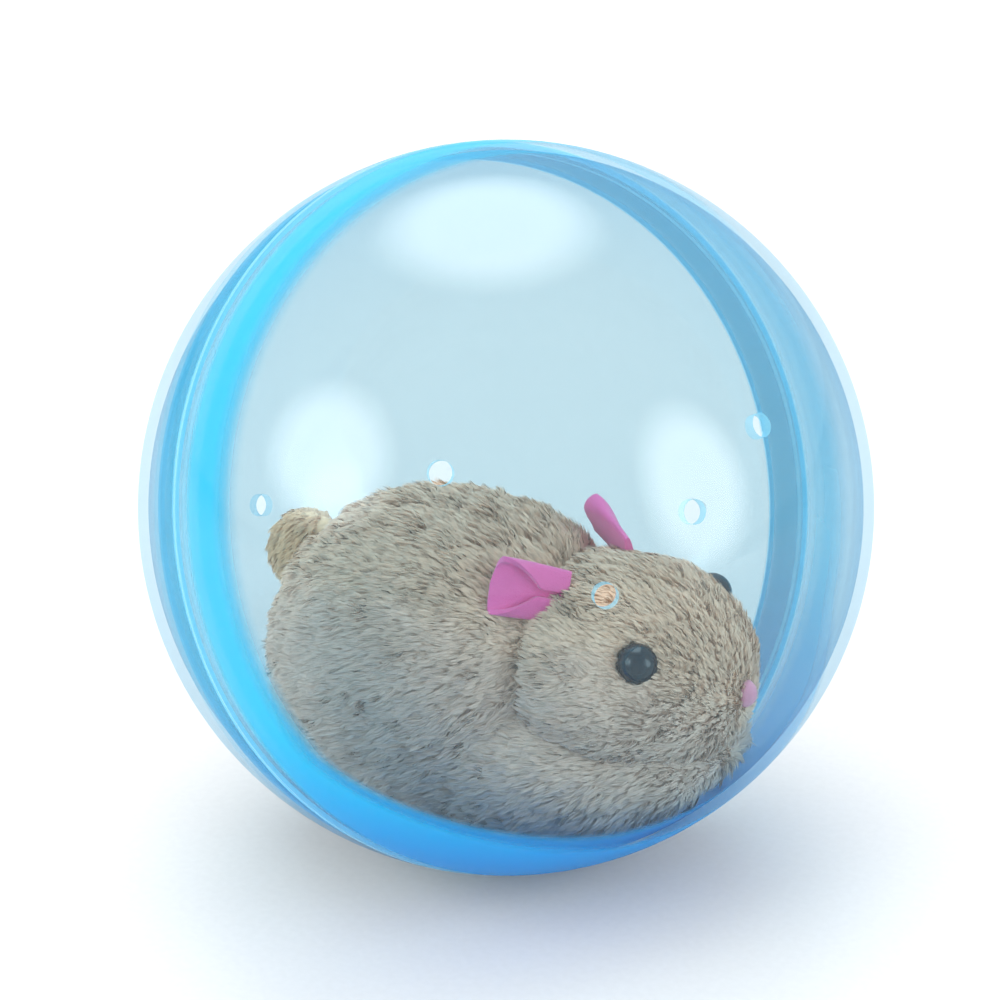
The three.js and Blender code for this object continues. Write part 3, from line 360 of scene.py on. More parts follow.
def node(tree, kind, links=None, values=None, **settings):
    """Adds a node with its settings, socket values and incoming links."""
    made = tree.nodes.new(kind)
    for key, value in settings.items():
        setattr(made, key, value)
    for socket, value in (values or {}).items():
        made.inputs[socket].default_value = value
    for socket, source in (links or {}).items():
        tree.links.new(source, made.inputs[socket])
    return made


def ramp_stops(ramp, stops):
    elements = ramp.color_ramp.elements
    while len(elements) < len(stops):
        elements.new(0.5)
    for element, (position, colour) in zip(elements, stops):
        element.position = position
        element.color = rgba(colour)


def output(tree, surface):
    node(tree, "ShaderNodeOutputMaterial", {"Surface": surface})


def moulded(name, code, rough, ior=1.53, grain=0.25, depth=0.02, metallic=0.0):
    """Moulded or turned material: its colour breathes a little, and a fine grain breaks its gloss. The
    grain is its spacing and the depth its height, both in millimetres."""
    made = material(name)
    tree = made.node_tree
    point = node(tree, "ShaderNodeTexCoord").outputs["Object"]
    fine = node(tree, "ShaderNodeTexNoise", {"Vector": point}, {"Scale": 1 / (grain * MM), "Detail": 3})
    broad = node(tree, "ShaderNodeTexNoise", {"Vector": point}, {"Scale": 1 / (CLOUDING * MM), "Detail": 2})
    base = linear(code)
    shade = node(tree, "ShaderNodeValToRGB", {"Fac": broad.outputs["Fac"]})
    ramp_stops(shade, [(0.3, [c * 0.9 for c in base]), (0.7, base)])
    roughness = node(
        tree, "ShaderNodeMapRange", {"Value": fine.outputs["Fac"]},
        {"To Min": rough * 0.85, "To Max": min(1, rough * 1.2)})
    bump = node(
        tree, "ShaderNodeBump", {"Height": fine.outputs["Fac"]}, {"Strength": 0.35, "Distance": depth * MM})
    values = {"Metallic": metallic}
    if not metallic:
        values["IOR"] = ior
    shader = node(
        tree, "ShaderNodeBsdfPrincipled",
        {
            "Base Color": shade.outputs["Color"],
            "Roughness": roughness.outputs["Result"],
            "Normal": bump.outputs["Normal"],
        },
        values)
    output(tree, shader.outputs["BSDF"])
    return made


def stripe(tree, near, far, rise, fall):
    """A soft stripe: it fades in where one distance passes the rise, and out where the other passes the
    fall, both pairs of millimetres."""
    fades = [
        node(
            tree, "ShaderNodeMapRange", {"Value": distance}, {"From Min": start * MM, "From Max": end * MM},
            interpolation_type="SMOOTHSTEP").outputs["Result"]
        for distance, (start, end) in ((near, rise), (far, fall))
    ]
    return node(tree, "ShaderNodeMath", {0: fades[0], 1: fades[1]}, operation="MULTIPLY").outputs["Value"]


def clear_polystyrene():
    """Injection-moulded clear polystyrene, tinted blue: it passes most light, mirrors the lamps sharply,
    and gathers blue light in the thick band beside the seam. Low down the band is painted stronger and
    deeper blue as shade, and the seam and cut edges carry a painted highlight."""
    made = material("polystyrene_clear_blue")
    tree = made.node_tree
    settings = ball_settings()
    point = node(tree, "ShaderNodeTexCoord").outputs["Object"]
    away = node(
        tree, "ShaderNodeVectorMath", {0: point}, {1: centre()}, operation="SUBTRACT").outputs["Vector"]
    lift, side = [
        node(tree, "ShaderNodeVectorMath", {0: away}, {1: axis}, operation="DOT_PRODUCT").outputs["Value"]
        for axis in (POLE, LEVEL)
    ]
    level = node(tree, "ShaderNodeSeparateXYZ", {"Vector": point}).outputs["Z"]
    edge = node(tree, "ShaderNodeAttribute", attribute_name="edge").outputs["Fac"]

    # How the band widens low down, gains strength and deepens there as painted shade, and pales toward one
    # side
    widening, strength, paling, low_shade = [
        node(
            tree, "ShaderNodeMapRange", {"Value": place_on},
            {"From Min": start * MM, "From Max": end * MM, "To Min": low, "To Max": high},
            interpolation_type="SMOOTHSTEP").outputs["Result"]
        for place_on, (start, end), (low, high) in (
            (level, BAND_WIDENS_BETWEEN, (0, BAND_WIDENS_BY * MM)),
            (level, BAND_STRONGER_BETWEEN, BAND_STRENGTH),
            (side, BAND_WEAKER_BETWEEN, BAND_PALING),
            (level, LOW_SHADE_BETWEEN, (0, 1)),
        )
    ]
    widened = node(
        tree, "ShaderNodeMath", {0: lift, 1: widening}, operation="SUBTRACT").outputs["Value"]
    band = stripe(tree, lift, widened, BAND_FADES_IN, BAND_FADES_OUT)
    for share in (strength, paling):
        band = node(tree, "ShaderNodeMath", {0: band, 1: share}, operation="MULTIPLY").outputs["Value"]
    overlap = stripe(tree, lift, lift, OVERLAP_BACK, OVERLAP_FRONT)
    seam = stripe(tree, lift, lift, SEAM_BACK, SEAM_FRONT)

    # The light does not all go through: each stripe holds its share back and glows with it
    veil = node(tree, "ShaderNodeMath", {0: band}, {1: VEIL_ALL_OVER}, operation="ADD").outputs["Value"]
    for pattern, share in ((overlap, OVERLAP_VEIL), (seam, SEAM_VEIL), (edge, EDGE_VEIL)):
        veil = node(
            tree, "ShaderNodeMath", {0: pattern, 2: veil}, {1: share},
            operation="MULTIPLY_ADD", use_clamp=True).outputs["Value"]

    slant = node(tree, "ShaderNodeLayerWeight", values={"Blend": 0.5}).outputs["Facing"]
    slant = node(tree, "ShaderNodeMath", {0: slant}, {1: SLANT_POWER}, operation="POWER").outputs["Value"]
    see_through = node(
        tree, "ShaderNodeMix", {"Factor": slant},
        {"A": rgba(settings.tint), "B": rgba(linear(SLANTED_TINT))}, data_type="RGBA").outputs[2]
    passed = node(tree, "ShaderNodeBsdfTransparent", {"Color": see_through})
    # Painted shade: low down the band's blue turns deeper, as the ball's bottom lies in shade
    skin = node(
        tree, "ShaderNodeMix", {"Factor": low_shade},
        {"A": rgba(settings.band), "B": rgba(settings.shaded_band)}, data_type="RGBA").outputs[2]
    # Painted highlight: the seam and the cut edges take a pale cyan in place of the band's blue
    bright = node(tree, "ShaderNodeMath", {0: seam, 1: edge}, operation="MAXIMUM").outputs["Value"]
    skin = node(
        tree, "ShaderNodeMix", {"Factor": bright, "A": skin},
        {"B": rgba(linear(EDGE_HIGHLIGHT))}, data_type="RGBA").outputs[2]
    lit = node(
        tree, "ShaderNodeBsdfPrincipled", {"Base Color": skin},
        {"Roughness": 0.3, "IOR": POLYSTYRENE_IOR, "Specular IOR Level": 0.0})
    backlit = node(tree, "ShaderNodeBsdfTranslucent", {"Color": skin})
    glow = node(tree, "ShaderNodeMixShader", {1: lit.outputs["BSDF"], 2: backlit.outputs["BSDF"]}, {0: 0.5})

    # The band is clear too, so most of the lamps' light goes on through it to what lies behind
    shadow = node(tree, "ShaderNodeLightPath").outputs["Is Shadow Ray"]
    held = node(tree, "ShaderNodeMapRange", {"Value": shadow}, {"To Min": 1.0, "To Max": SHADOW_SHARE})
    veil = node(
        tree, "ShaderNodeMath", {0: veil, 1: held.outputs["Result"]}, operation="MULTIPLY").outputs["Value"]
    body = node(
        tree, "ShaderNodeMixShader", {0: veil, 1: passed.outputs["BSDF"], 2: glow.outputs["Shader"]})

    # Only the front faces mirror, so each stands for both faces of its wall
    fresnel = node(tree, "ShaderNodeFresnel", values={"IOR": POLYSTYRENE_IOR}).outputs["Fac"]
    back = node(tree, "ShaderNodeNewGeometry").outputs["Backfacing"]
    front = node(tree, "ShaderNodeMath", {1: back}, {0: 1.0}, operation="SUBTRACT").outputs["Value"]
    sheen = node(
        tree, "ShaderNodeMapRange", {"Value": fresnel},
        {"From Min": FRESNEL_HEAD_ON, "From Max": 1.0, "To Min": SHEEN[0], "To Max": SHEEN[1]})
    sheen = node(
        tree, "ShaderNodeMath", {0: sheen.outputs["Result"], 1: front}, operation="MULTIPLY").outputs["Value"]
    gloss = node(tree, "ShaderNodeBsdfGlossy", values={"Color": rgba((0.95, 0.99, 1)), "Roughness": 0.04})
    mirrored = node(
        tree, "ShaderNodeMixShader", {0: sheen, 1: body.outputs["Shader"], 2: gloss.outputs["BSDF"]})
    output(tree, mirrored.outputs["Shader"])
    return made


def plush_fur(name, over=None, under=None):
    """Short acrylic pile: tan on the back, cream on the flanks, with smoky streaks, and painted shade that
    darkens the roots of the tufts.
    """
    made = material(name)
    tree = made.node_tree
    settings = plush_settings()
    point = node(tree, "ShaderNodeTexCoord").outputs["Object"]
    parts = node(tree, "ShaderNodeSeparateXYZ", {"Vector": point})
    streaks = node(
        tree, "ShaderNodeTexNoise", {"Vector": point},
        {"Scale": 1 / (STREAK_SPACING * MM), "Detail": 3, "Roughness": 0.6})
    tufts = node(
        tree, "ShaderNodeTexNoise", {"Vector": point}, {"Scale": 1 / (TUFT_SPACING * MM), "Detail": 2})
    side = node(tree, "ShaderNodeMath", {0: parts.outputs["Y"]}, operation="ABSOLUTE")
    lowered = node(tree, "ShaderNodeMath", {0: side.outputs["Value"]}, {1: BACK_SLOPE}, operation="MULTIPLY")
    level = node(
        tree, "ShaderNodeMath", {0: parts.outputs["Z"], 1: lowered.outputs["Value"]}, operation="SUBTRACT")
    swing = node(
        tree, "ShaderNodeMapRange", {"Value": streaks.outputs["Fac"]},
        {"To Min": -BACK_STRAYS_BY * MM, "To Max": BACK_STRAYS_BY * MM})
    level = node(
        tree, "ShaderNodeMath", {0: level.outputs["Value"], 1: swing.outputs["Result"]}, operation="ADD")
    flank_end, back_start = BACK_BETWEEN
    upper = node(
        tree, "ShaderNodeMapRange", {"Value": level.outputs["Value"]},
        {"From Min": flank_end * MM, "From Max": back_start * MM}, interpolation_type="SMOOTHSTEP")
    coat = node(
        tree, "ShaderNodeMix", {"Factor": upper.outputs["Result"]},
        {"A": rgba(under or settings.flank), "B": rgba(over or settings.back)}, data_type="RGBA")
    dark = node(
        tree, "ShaderNodeMapRange", {"Value": tufts.outputs["Fac"]},
        {"From Min": 0.45, "From Max": 0.8, "To Max": TUFT_SMOKE})
    # Painted shade: each tuft darkens toward its root, deep in the pile
    root = node(tree, "ShaderNodeAttribute", attribute_name="root")
    depth = node(tree, "ShaderNodeMath", {0: root.outputs["Fac"]}, {1: ROOT_SHADE}, operation="MULTIPLY")
    tone = node(tree, "ShaderNodeAttribute", attribute_name="tone")
    streak = node(
        tree, "ShaderNodeMapRange", {"Value": tone.outputs["Fac"]},
        {"From Min": 0.45, "From Max": 0.95, "To Max": LOCK_SMOKE})
    shade = dark.outputs["Result"]
    for other in (depth.outputs["Value"], streak.outputs["Result"]):
        shade = node(tree, "ShaderNodeMath", {0: shade, 1: other}, operation="MAXIMUM").outputs["Value"]
    colour = node(
        tree, "ShaderNodeMix", {"Factor": shade, "A": coat.outputs[2]},
        {"B": rgba(settings.smoke_and_root_shade)}, data_type="RGBA")
    shader = node(
        tree, "ShaderNodeBsdfPrincipled", {"Base Color": colour.outputs[2]},
        {"Roughness": 0.75, "IOR": 1.45, "Sheen Weight": 0.25, "Specular IOR Level": 0.3})
    output(tree, shader.outputs["BSDF"])
    return made


def felt(name, colour, fibre=EAR_FIBRE):
    """Pressed felt: matt, with short fibres lying every way."""
    made = material(name)
    tree = made.node_tree
    point = node(tree, "ShaderNodeTexCoord").outputs["Object"]
    fibres = node(
        tree, "ShaderNodeTexNoise", {"Vector": point},
        {"Scale": 1 / (fibre * MM), "Detail": 4, "Distortion": 1.5})
    patches = node(tree, "ShaderNodeTexNoise", {"Vector": point}, {"Scale": 1 / (3 * MM), "Detail": 2})
    mixed = node(
        tree, "ShaderNodeMath", {0: fibres.outputs["Fac"], 1: patches.outputs["Fac"]}, operation="MULTIPLY")
    shade = node(tree, "ShaderNodeValToRGB", {"Fac": mixed.outputs["Value"]})
    ramp_stops(shade, [(0.12, [c * 0.92 for c in colour]), (0.38, list(colour))])
    bump = node(
        tree, "ShaderNodeBump", {"Height": fibres.outputs["Fac"]}, {"Strength": 0.7, "Distance": 0.25 * MM})
    shader = node(
        tree, "ShaderNodeBsdfPrincipled",
        {"Base Color": shade.outputs["Color"], "Normal": bump.outputs["Normal"]},
        {"Roughness": 0.95, "IOR": 1.45, "Sheen Weight": 0.4})
    output(tree, shader.outputs["BSDF"])
    return made


def glossy_bead():
    """Polished acrylic bead, near black with a teal cast."""
    return moulded("acrylic_bead", "#03202E", 0.08, ior=1.49, grain=2, depth=0.001)


# Clear shells


# Steps of a shell round its pole, the rounding of its edges in millimetres, and how far a face may turn
# away from straight out before it counts as a cut edge
SPIN_STEPS = 144
EDGE_ROUNDING = 0.12
EDGE_FACING = 0.6


def arc(radius, start, end, steps):
    """Points of a profile on a circle round the ball's centre, by angle from the pole."""
    angles = [start + (end - start) * i / steps for i in range(steps + 1)]
    return [(radius * math.sin(a), radius * math.cos(a)) for a in angles]


def angle_at(radius, height):
    return math.acos(height / radius)


def turned(name, profile):
    """A closed profile of (radius, height) points, spun round the Z axis."""
    clear_selection()
    bpy.ops.mesh.primitive_circle_add(vertices=len(profile), radius=1)
    piece = named(name)
    for vertex, (radius, height) in zip(piece.data.vertices, profile):
        vertex.co = (radius, 0, height)
    edit_all(piece)
    bpy.ops.mesh.spin(steps=SPIN_STEPS, angle=2 * math.pi, center=(0, 0, 0), axis=(0, 0, 1))
    bpy.ops.mesh.select_all(action="SELECT")
    bpy.ops.mesh.remove_doubles(threshold=1e-7)
    bpy.ops.mesh.delete_loose()
    bpy.ops.mesh.select_all(action="SELECT")
    bpy.ops.mesh.normals_make_consistent(inside=False)
    leave_edit()
    return piece


def drill_vents(piece, vents):
    settings = ball_settings()
    for polar, turn in vents:
        clear_selection()
        bpy.ops.mesh.primitive_cylinder_add(vertices=32, radius=settings.vent / 2, depth=4 * settings.wall)
        drill = named("drill")
        turn_to = Matrix.Rotation(math.radians(turn), 4, "Z") @ Matrix.Rotation(math.radians(polar), 4, "Y")
        place(drill, turn_to @ Matrix.Translation((0, 0, settings.diameter / 2)))
        carve(piece, drill)


def add_lugs(piece, gap, outer, operation):
    settings = ball_settings()
    inner = settings.diameter / 2 - settings.wall + settings.tongue_wall / 2
    reach = settings.lug_reach + gap + settings.wall
    for turn in LUG_TURNS:
        clear_selection()
        bpy.ops.mesh.primitive_cube_add(size=1)
        lug = named("lug")
        size = Matrix.Diagonal((outer - inner, settings.lug_width + 2 * gap, reach, 1))
        middle = Matrix.Translation(((inner + outer) / 2, 0, (settings.wall - settings.lug_reach - gap) / 2))
        place(lug, Matrix.Rotation(math.radians(turn), 4, "Z") @ middle @ size)
        carve(piece, lug, operation)


def finish_shell(piece, body, node_name):
    modify(
        piece, "BEVEL", width=EDGE_ROUNDING * MM, segments=2, limit_method="ANGLE",
        angle_limit=math.radians(50))
    edge = piece.data.attributes.new("edge", "FLOAT", "FACE")
    for face in piece.data.polygons:
        facing = abs(face.normal.dot(face.center.normalized()))
        edge.data[face.index].value = float(facing < EDGE_FACING)
    place(piece, shell_frame())
    smooth(piece, 40)
    finish_piece(piece, body, clear_polystyrene(), "clear_blue_polystyrene", node_name)


class PETBALL_OT_front_shell(bpy.types.Operator):
    """Model the clear front half with its tongue, lugs and vents"""

    bl_idname = "pet_ball.front_shell"
    bl_label = "Front shell"

    def execute(self, context):
        settings = ball_settings()
        outside = settings.diameter / 2
        inside = outside - settings.wall
        tongue = inside + settings.tongue_wall
        right = math.pi / 2
        tip = -settings.tongue_reach
        piece = turned("clear_shell_front", [
            *arc(outside, 0, right, 40),
            *arc(tongue, right, angle_at(tongue, tip), 4),
            *arc(inside, angle_at(inside, tip), right, 4),
            *arc(inside, right, 0, 40)[1:],
        ])
        add_lugs(piece, 0, outside - settings.gap, "UNION")
        drill_vents(piece, FRONT_VENTS)
        finish_shell(piece, "front_half", "front_shell")
        return {"FINISHED"}


class PETBALL_OT_rear_shell(bpy.types.Operator):
    """Model the clear rear half with its thinned rim, notches, vents and floor flat"""

    bl_idname = "pet_ball.rear_shell"
    bl_label = "Rear shell"

    def execute(self, context):
        settings = ball_settings()
        outside = settings.diameter / 2
        inside = outside - settings.wall
        rim = inside + settings.tongue_wall + settings.gap
        step = -settings.tongue_reach - settings.gap
        seam = -settings.gap
        piece = turned("clear_shell_rear", [
            *arc(inside, math.pi, angle_at(inside, step), 36),
            *arc(rim, angle_at(rim, step), angle_at(rim, seam), 4),
            *arc(outside, angle_at(outside, seam), math.pi, 40),
        ])
        drill_vents(piece, [(180 - polar, turn + REAR_VENT_TURN) for polar, turn in FRONT_VENTS])
        add_lugs(piece, settings.gap, outside + settings.wall, "DIFFERENCE")
        clear_selection()
        bpy.ops.mesh.primitive_cube_add(size=outside)
        floor = named("floor_cut")
        below = Matrix.Translation((0, 0, -centre().z - outside / 2))
        turn = shell_frame().to_3x3().to_4x4().inverted()
        place(floor, turn @ below)
        carve(piece, floor)
        finish_shell(piece, "rear_half", "rear_shell")
        return {"FINISHED"}


# Stuffed forms and fur


def form_point(form, toward):
    """The point of a rounded form, in metres, that lies in a direction from its centre."""
    middle, radii, power = form
    reach = sum(abs(t / r) ** power for t, r in zip(toward, radii)) ** (-1 / power)
    return Vector([(m + t * reach) * MM for m, t in zip(middle, toward)])


def stuffed_copy(node_name, name):
    """A smooth stuffed form from the frame's own solid, with the room for the drive unit left open."""
    clear_selection()
    piece = frame["nodes"][node_name].copy()
    piece.data = piece.data.copy()
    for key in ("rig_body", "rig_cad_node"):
        if key in piece:
            del piece[key]
    piece.parent = None
    bpy.context.scene.collection.objects.link(piece)
    piece.name = piece.data.name = name
    piece.hide_render = piece.hide_viewport = False
    edit_all(piece)
    bpy.ops.mesh.remove_doubles(threshold=1e-6)
    leave_edit()
    activate(piece)
    piece.data.remesh_voxel_size = plush_settings().voxel
    piece.data.remesh_voxel_adaptivity = 0
    bpy.ops.object.voxel_remesh()
    modify(piece, "SMOOTH", factor=0.5, iterations=6)
    smooth(piece, 180)
    return piece


def skin_samples(skin, count, seed):
    """Random points spread evenly over a skin, with the smooth normal at each."""
    mesh = skin.data
    mesh.calc_loop_triangles()
    corners = np.zeros(len(mesh.loop_triangles) * 3, np.int32)
    mesh.loop_triangles.foreach_get("vertices", corners)
    corners = corners.reshape(-1, 3)
    places = np.zeros(len(mesh.vertices) * 3)
    mesh.vertices.foreach_get("co", places)
    places = places.reshape(-1, 3)
    normals = np.zeros(len(mesh.vertices) * 3)
    mesh.vertices.foreach_get("normal", normals)
    normals = normals.reshape(-1, 3)
    a, b, c = (places[corners[:, i]] for i in range(3))
    area = np.linalg.norm(np.cross(b - a, c - a), axis=1) / 2
    chance = np.random.default_rng(seed)
    picked = chance.choice(len(area), size=count, p=area / area.sum())
    u, v = chance.random(count), chance.random(count)
    flip = u + v > 1
    u[flip], v[flip] = 1 - u[flip], 1 - v[flip]
    w = 1 - u - v
    mixed = [table[corners[picked]] for table in (places, normals)]
    found = [t[:, 0] * w[:, None] + t[:, 1] * u[:, None] + t[:, 2] * v[:, None] for t in mixed]
    return found[0], unit(found[1])


def skin_area(skin):
    return sum(face.area for face in skin.data.polygons)


def unit(vectors):
    return vectors / np.maximum(np.linalg.norm(vectors, axis=1, keepdims=True), 1e-12)


def ripple(points, wavelength, seed):
    """A smooth random direction at each point, that changes over about one wavelength."""
    chance = np.random.default_rng(seed)
    total = np.zeros_like(points)
    for _ in range(5):
        wave = chance.normal(size=(3, 3)) * 2 * math.pi / wavelength / 1.7
        total += np.sin(points @ wave.T + chance.random(3) * 2 * math.pi)
    return total / 2.2


def depth_in_form(form, points):
    """Below 1 inside a rounded form, above 1 outside it."""
    middle, radii, power = form
    away = np.abs(points / MM - np.array(middle)) / np.array(radii)
    return (away ** power).sum(axis=1) ** (1 / power)


def lock_of(roots, locks, chance):
    """For each tuft, the tuft whose tip it leans to: the nearest of an even random choice."""
    leaders = chance.choice(len(roots), size=max(1, min(locks, len(roots))), replace=False)
    near = kdtree.KDTree(len(leaders))
    for index, leader in enumerate(leaders):
        near.insert(roots[leader], index)
    near.balance()
    return leaders[[near.find(root)[1] for root in roots.tolist()]]


def grow_fur(name, roots, normals, comb, seed, skin, length_share, fur, slot):
    """Tapered tufts, each a narrow blade in two parts, combed along the coat, drawn into locks and kept
    inside the ball. The skin that they cover is given in square metres."""
    settings = plush_settings()
    chance = np.random.default_rng(seed)
    count = len(roots)
    along = unit(comb - normals * (comb * normals).sum(axis=1, keepdims=True))
    swirl = sum(
        ripple(roots, wavelength * MM, seed + i) * share
        for i, (wavelength, share) in enumerate(TUFT_SWIRLS, 1))
    strays = chance.normal(size=(count, 3)) * TUFT_CHANCE
    lean = unit(normals * TUFT_UPRIGHT + along * TUFT_ALONG + swirl + strays)
    length = settings.pile * length_share * (0.7 + 0.5 * chance.random(count))[:, None]
    sewn = np.clip(1 - np.abs(roots[:, 1:2]) / (SEWN_HALF_WIDTH * MM), 0, 1) * (normals[:, 2:3] > 0.3)
    length = length * (1 - SEWN_SHORTER_BY * sewn)
    across = unit(np.cross(lean, normals) + chance.normal(size=(count, 3)) * 0.25)
    width = settings.strand * (0.7 + 0.6 * chance.random(count))[:, None]
    start = roots - normals * ROOT_DEPTH * MM
    middle = roots + lean * length * 0.5
    tip = roots + unit(lean + along * TIP_BENDS - normals * TIP_SINKS) * length
    lock = lock_of(roots, int(skin / settings.lock_area), chance)
    middle += (middle[lock] - middle) * LOCK_MIDDLE
    tip += (tip[lock] - tip) * LOCK_TIP
    tone = chance.random(count)[lock] * 0.7 + chance.random(count) * 0.3
    wide, narrow = BLADE_HALF_WIDTHS
    rows = [start - across * width * wide, start + across * width * wide,
            middle - across * width * narrow, middle + across * width * narrow, tip]
    points = np.stack(rows, axis=1).reshape(-1, 3)
    core = np.array(centre())
    limit = ball_settings().diameter / 2 - ball_settings().wall - WALL_CLEARANCE * MM
    out = points - core
    reach = np.linalg.norm(out, axis=1, keepdims=True)
    points = np.where(reach > limit, core + out * (limit / np.maximum(reach, 1e-9)), points)
    base = np.arange(count)[:, None] * 5
    quads = base + np.array([[0, 1, 3, 2]])
    tris = base + np.array([[2, 3, 4]])
    mesh = bpy.data.meshes.new(name)
    mesh.vertices.add(len(points))
    mesh.vertices.foreach_set("co", points.ravel())
    order = np.concatenate([quads, tris], axis=1).ravel()
    mesh.loops.add(len(order))
    mesh.loops.foreach_set("vertex_index", order.astype(np.int32))
    starts = (np.arange(count)[:, None] * 7 + np.array([[0, 4]])).ravel()
    mesh.polygons.add(len(starts))
    mesh.polygons.foreach_set("loop_start", starts.astype(np.int32))
    mesh.update(calc_edges=True)
    # Painted shade at the roots: full at a tuft's root, a quarter at its middle, none at its tip
    shade = mesh.attributes.new("root", "FLOAT", "POINT")
    shade.data.foreach_set("value", np.tile(BLADE_ROOT_SHADE, count).astype(np.float32))
    streak = mesh.attributes.new("tone", "FLOAT", "POINT")
    streak.data.foreach_set("value", np.repeat(tone, 5).astype(np.float32))
    mesh.shade_smooth()
    blade = np.cross(across, lean)
    blade = blade * np.sign((blade * normals).sum(axis=1, keepdims=True))
    soft = unit(normals * SKIN_SHADING + blade * BLADE_SHADING)
    mesh.normals_split_custom_set_from_vertices(np.repeat(soft, 5, axis=0).tolist())
    piece = bpy.data.objects.new(name, mesh)
    bpy.context.scene.collection.objects.link(piece)
    finish_piece(piece, "hamster", fur, slot)


def coat(name, skin, kept, comb_of, seed, fur, slot, length_share=1.0):
    """Fur on the part of a skin where kept is true, split into pieces."""
    density = plush_settings().per_square_mm * 1
    count = int(skin_area(skin) / MM ** 2 * density)
    roots, normals = skin_samples(skin, count, seed)
    chosen = kept(roots, normals)
    roots, normals = roots[chosen], normals[chosen]
    parts = max(1, math.ceil(len(roots) / MOST_TUFTS))
    order = np.argsort(roots[:, 0], kind="stable")
    for i, share in enumerate(np.array_split(order, parts)):
        covered = len(share) / density * MM ** 2
        grow_fur(
            f"{name}_{i + 1}", roots[share], normals[share], comb_of(roots[share]), seed + 10 * i, covered,
            length_share, fur, slot)


class PETBALL_OT_plush(bpy.types.Operator):
    """Model the stuffed body and head and cover them with fur"""

    bl_idname = "pet_ball.plush"
    bl_label = "Plush"

    def execute(self, context):
        body = stuffed_copy("plush_body", "stuffed_body")
        head = stuffed_copy("plush_head", "stuffed_head")
        backing = plush_fur("knitted_backing")
        finish_piece(body, "hamster", backing, "cream_plush", "plush_body")
        finish_piece(head, "hamster", backing, "tan_plush", "plush_head")
        core = np.array(centre())
        pressed = ball_settings().diameter / 2 - ball_settings().wall - PRESSED_WITHIN * MM

        def on_outside(forms):
            def kept(roots, normals):
                on_form = np.min([np.abs(depth_in_form(form, roots) - 1) for form in forms], axis=0) < 0.05
                on_wall = np.linalg.norm(roots - core, axis=1) > pressed
                return on_form | on_wall
            return kept

        def backward(roots):
            return np.tile([-1.0, 0, -0.35], (len(roots), 1))

        def from_nose(roots):
            return roots - np.array(NOSE_TIP) * MM

        fur = plush_fur("acrylic_pile")
        coat("fur_body", body, on_outside([RUMP, BELLY]), backward, 11, fur, "tan_plush")
        coat("fur_head", head, on_outside([HEAD]), from_nose, 41, fur, "tan_plush", 0.8)
        return {"FINISHED"}


def ear_axes(side):
    """An ear's axes: along it and as long as it, then across it and out of the head."""
    along = Vector((-10.3, side * 6, 2.7)) * MM
    across = Vector((0.23, side * -0.54, 0.81))
    across = (across - along * across.dot(along) / along.length_squared).normalized()
    raised = Vector((0.41, side * 0.81, 0.42))
    raised = raised - along * raised.dot(along) / along.length_squared
    raised = (raised - across * raised.dot(across)).normalized()
    return along, across, raised


def ear_fold(t, s):
    """Where a point of the rolled strip lies along the ear's axes. It is t of the way to the tip, and s
    goes from one long edge of the strip, at -1, to the other, at 1."""
    wrap = 0.97 - 0.45 * max(0, (t - 0.42) / 0.58)
    turn = math.pi * abs(s) * wrap
    half = (3.9 + 0.7 * math.sin(t * math.pi / 2)) * MM
    depth = (0.5 + 2.3 * t) * MM
    curl = 0.35 * MM * math.sin(5 * s + 3 * t) * t
    drawn = 1 - 0.07 * abs(s) * (1 + math.copysign(1, s) * 0.6)
    forward = 1.08 * t * drawn - 0.08
    sideways = math.copysign(math.sin(turn) ** 0.8, s) * half
    lift = depth * (1 - math.cos(turn)) / 2 + curl
    return forward, sideways, lift


class PETBALL_OT_ears(bpy.types.Operator):
    """Model the felt ears, each a strip rolled flat whose edges part toward the tip"""

    bl_idname = "pet_ball.ears"
    bl_label = "Ears"

    def execute(self, context):
        for name, side, toward in EARS:
            root = form_point(HEAD, toward)
            along, across, raised = ear_axes(side)
            clear_selection()
            bpy.ops.mesh.primitive_grid_add(x_subdivisions=20, y_subdivisions=36, size=2)
            piece = named(f"felt_ear_{name}")
            for vertex in piece.data.vertices:
                forward, sideways, lift = ear_fold((vertex.co.x + 1) / 2, vertex.co.y)
                vertex.co = root + along * forward + across * sideways + raised * lift
            edit_all(piece)
            bpy.ops.mesh.normals_make_consistent(inside=False)
            modify(piece, "SOLIDIFY", thickness=EAR_THICKNESS * MM, offset=0, use_even_offset=True)
            modify(
                piece, "BEVEL", width=EAR_ROUNDING * MM, segments=2, limit_method="ANGLE",
                angle_limit=math.radians(60))
            edit_all(piece)
            bpy.ops.mesh.normals_make_consistent(inside=False)
            smooth(piece, 60)
            finish_piece(
                piece, "hamster", felt("wool_felt_pink", plush_settings().felt), "pink_felt", f"ear_{name}")
        return {"FINISHED"}


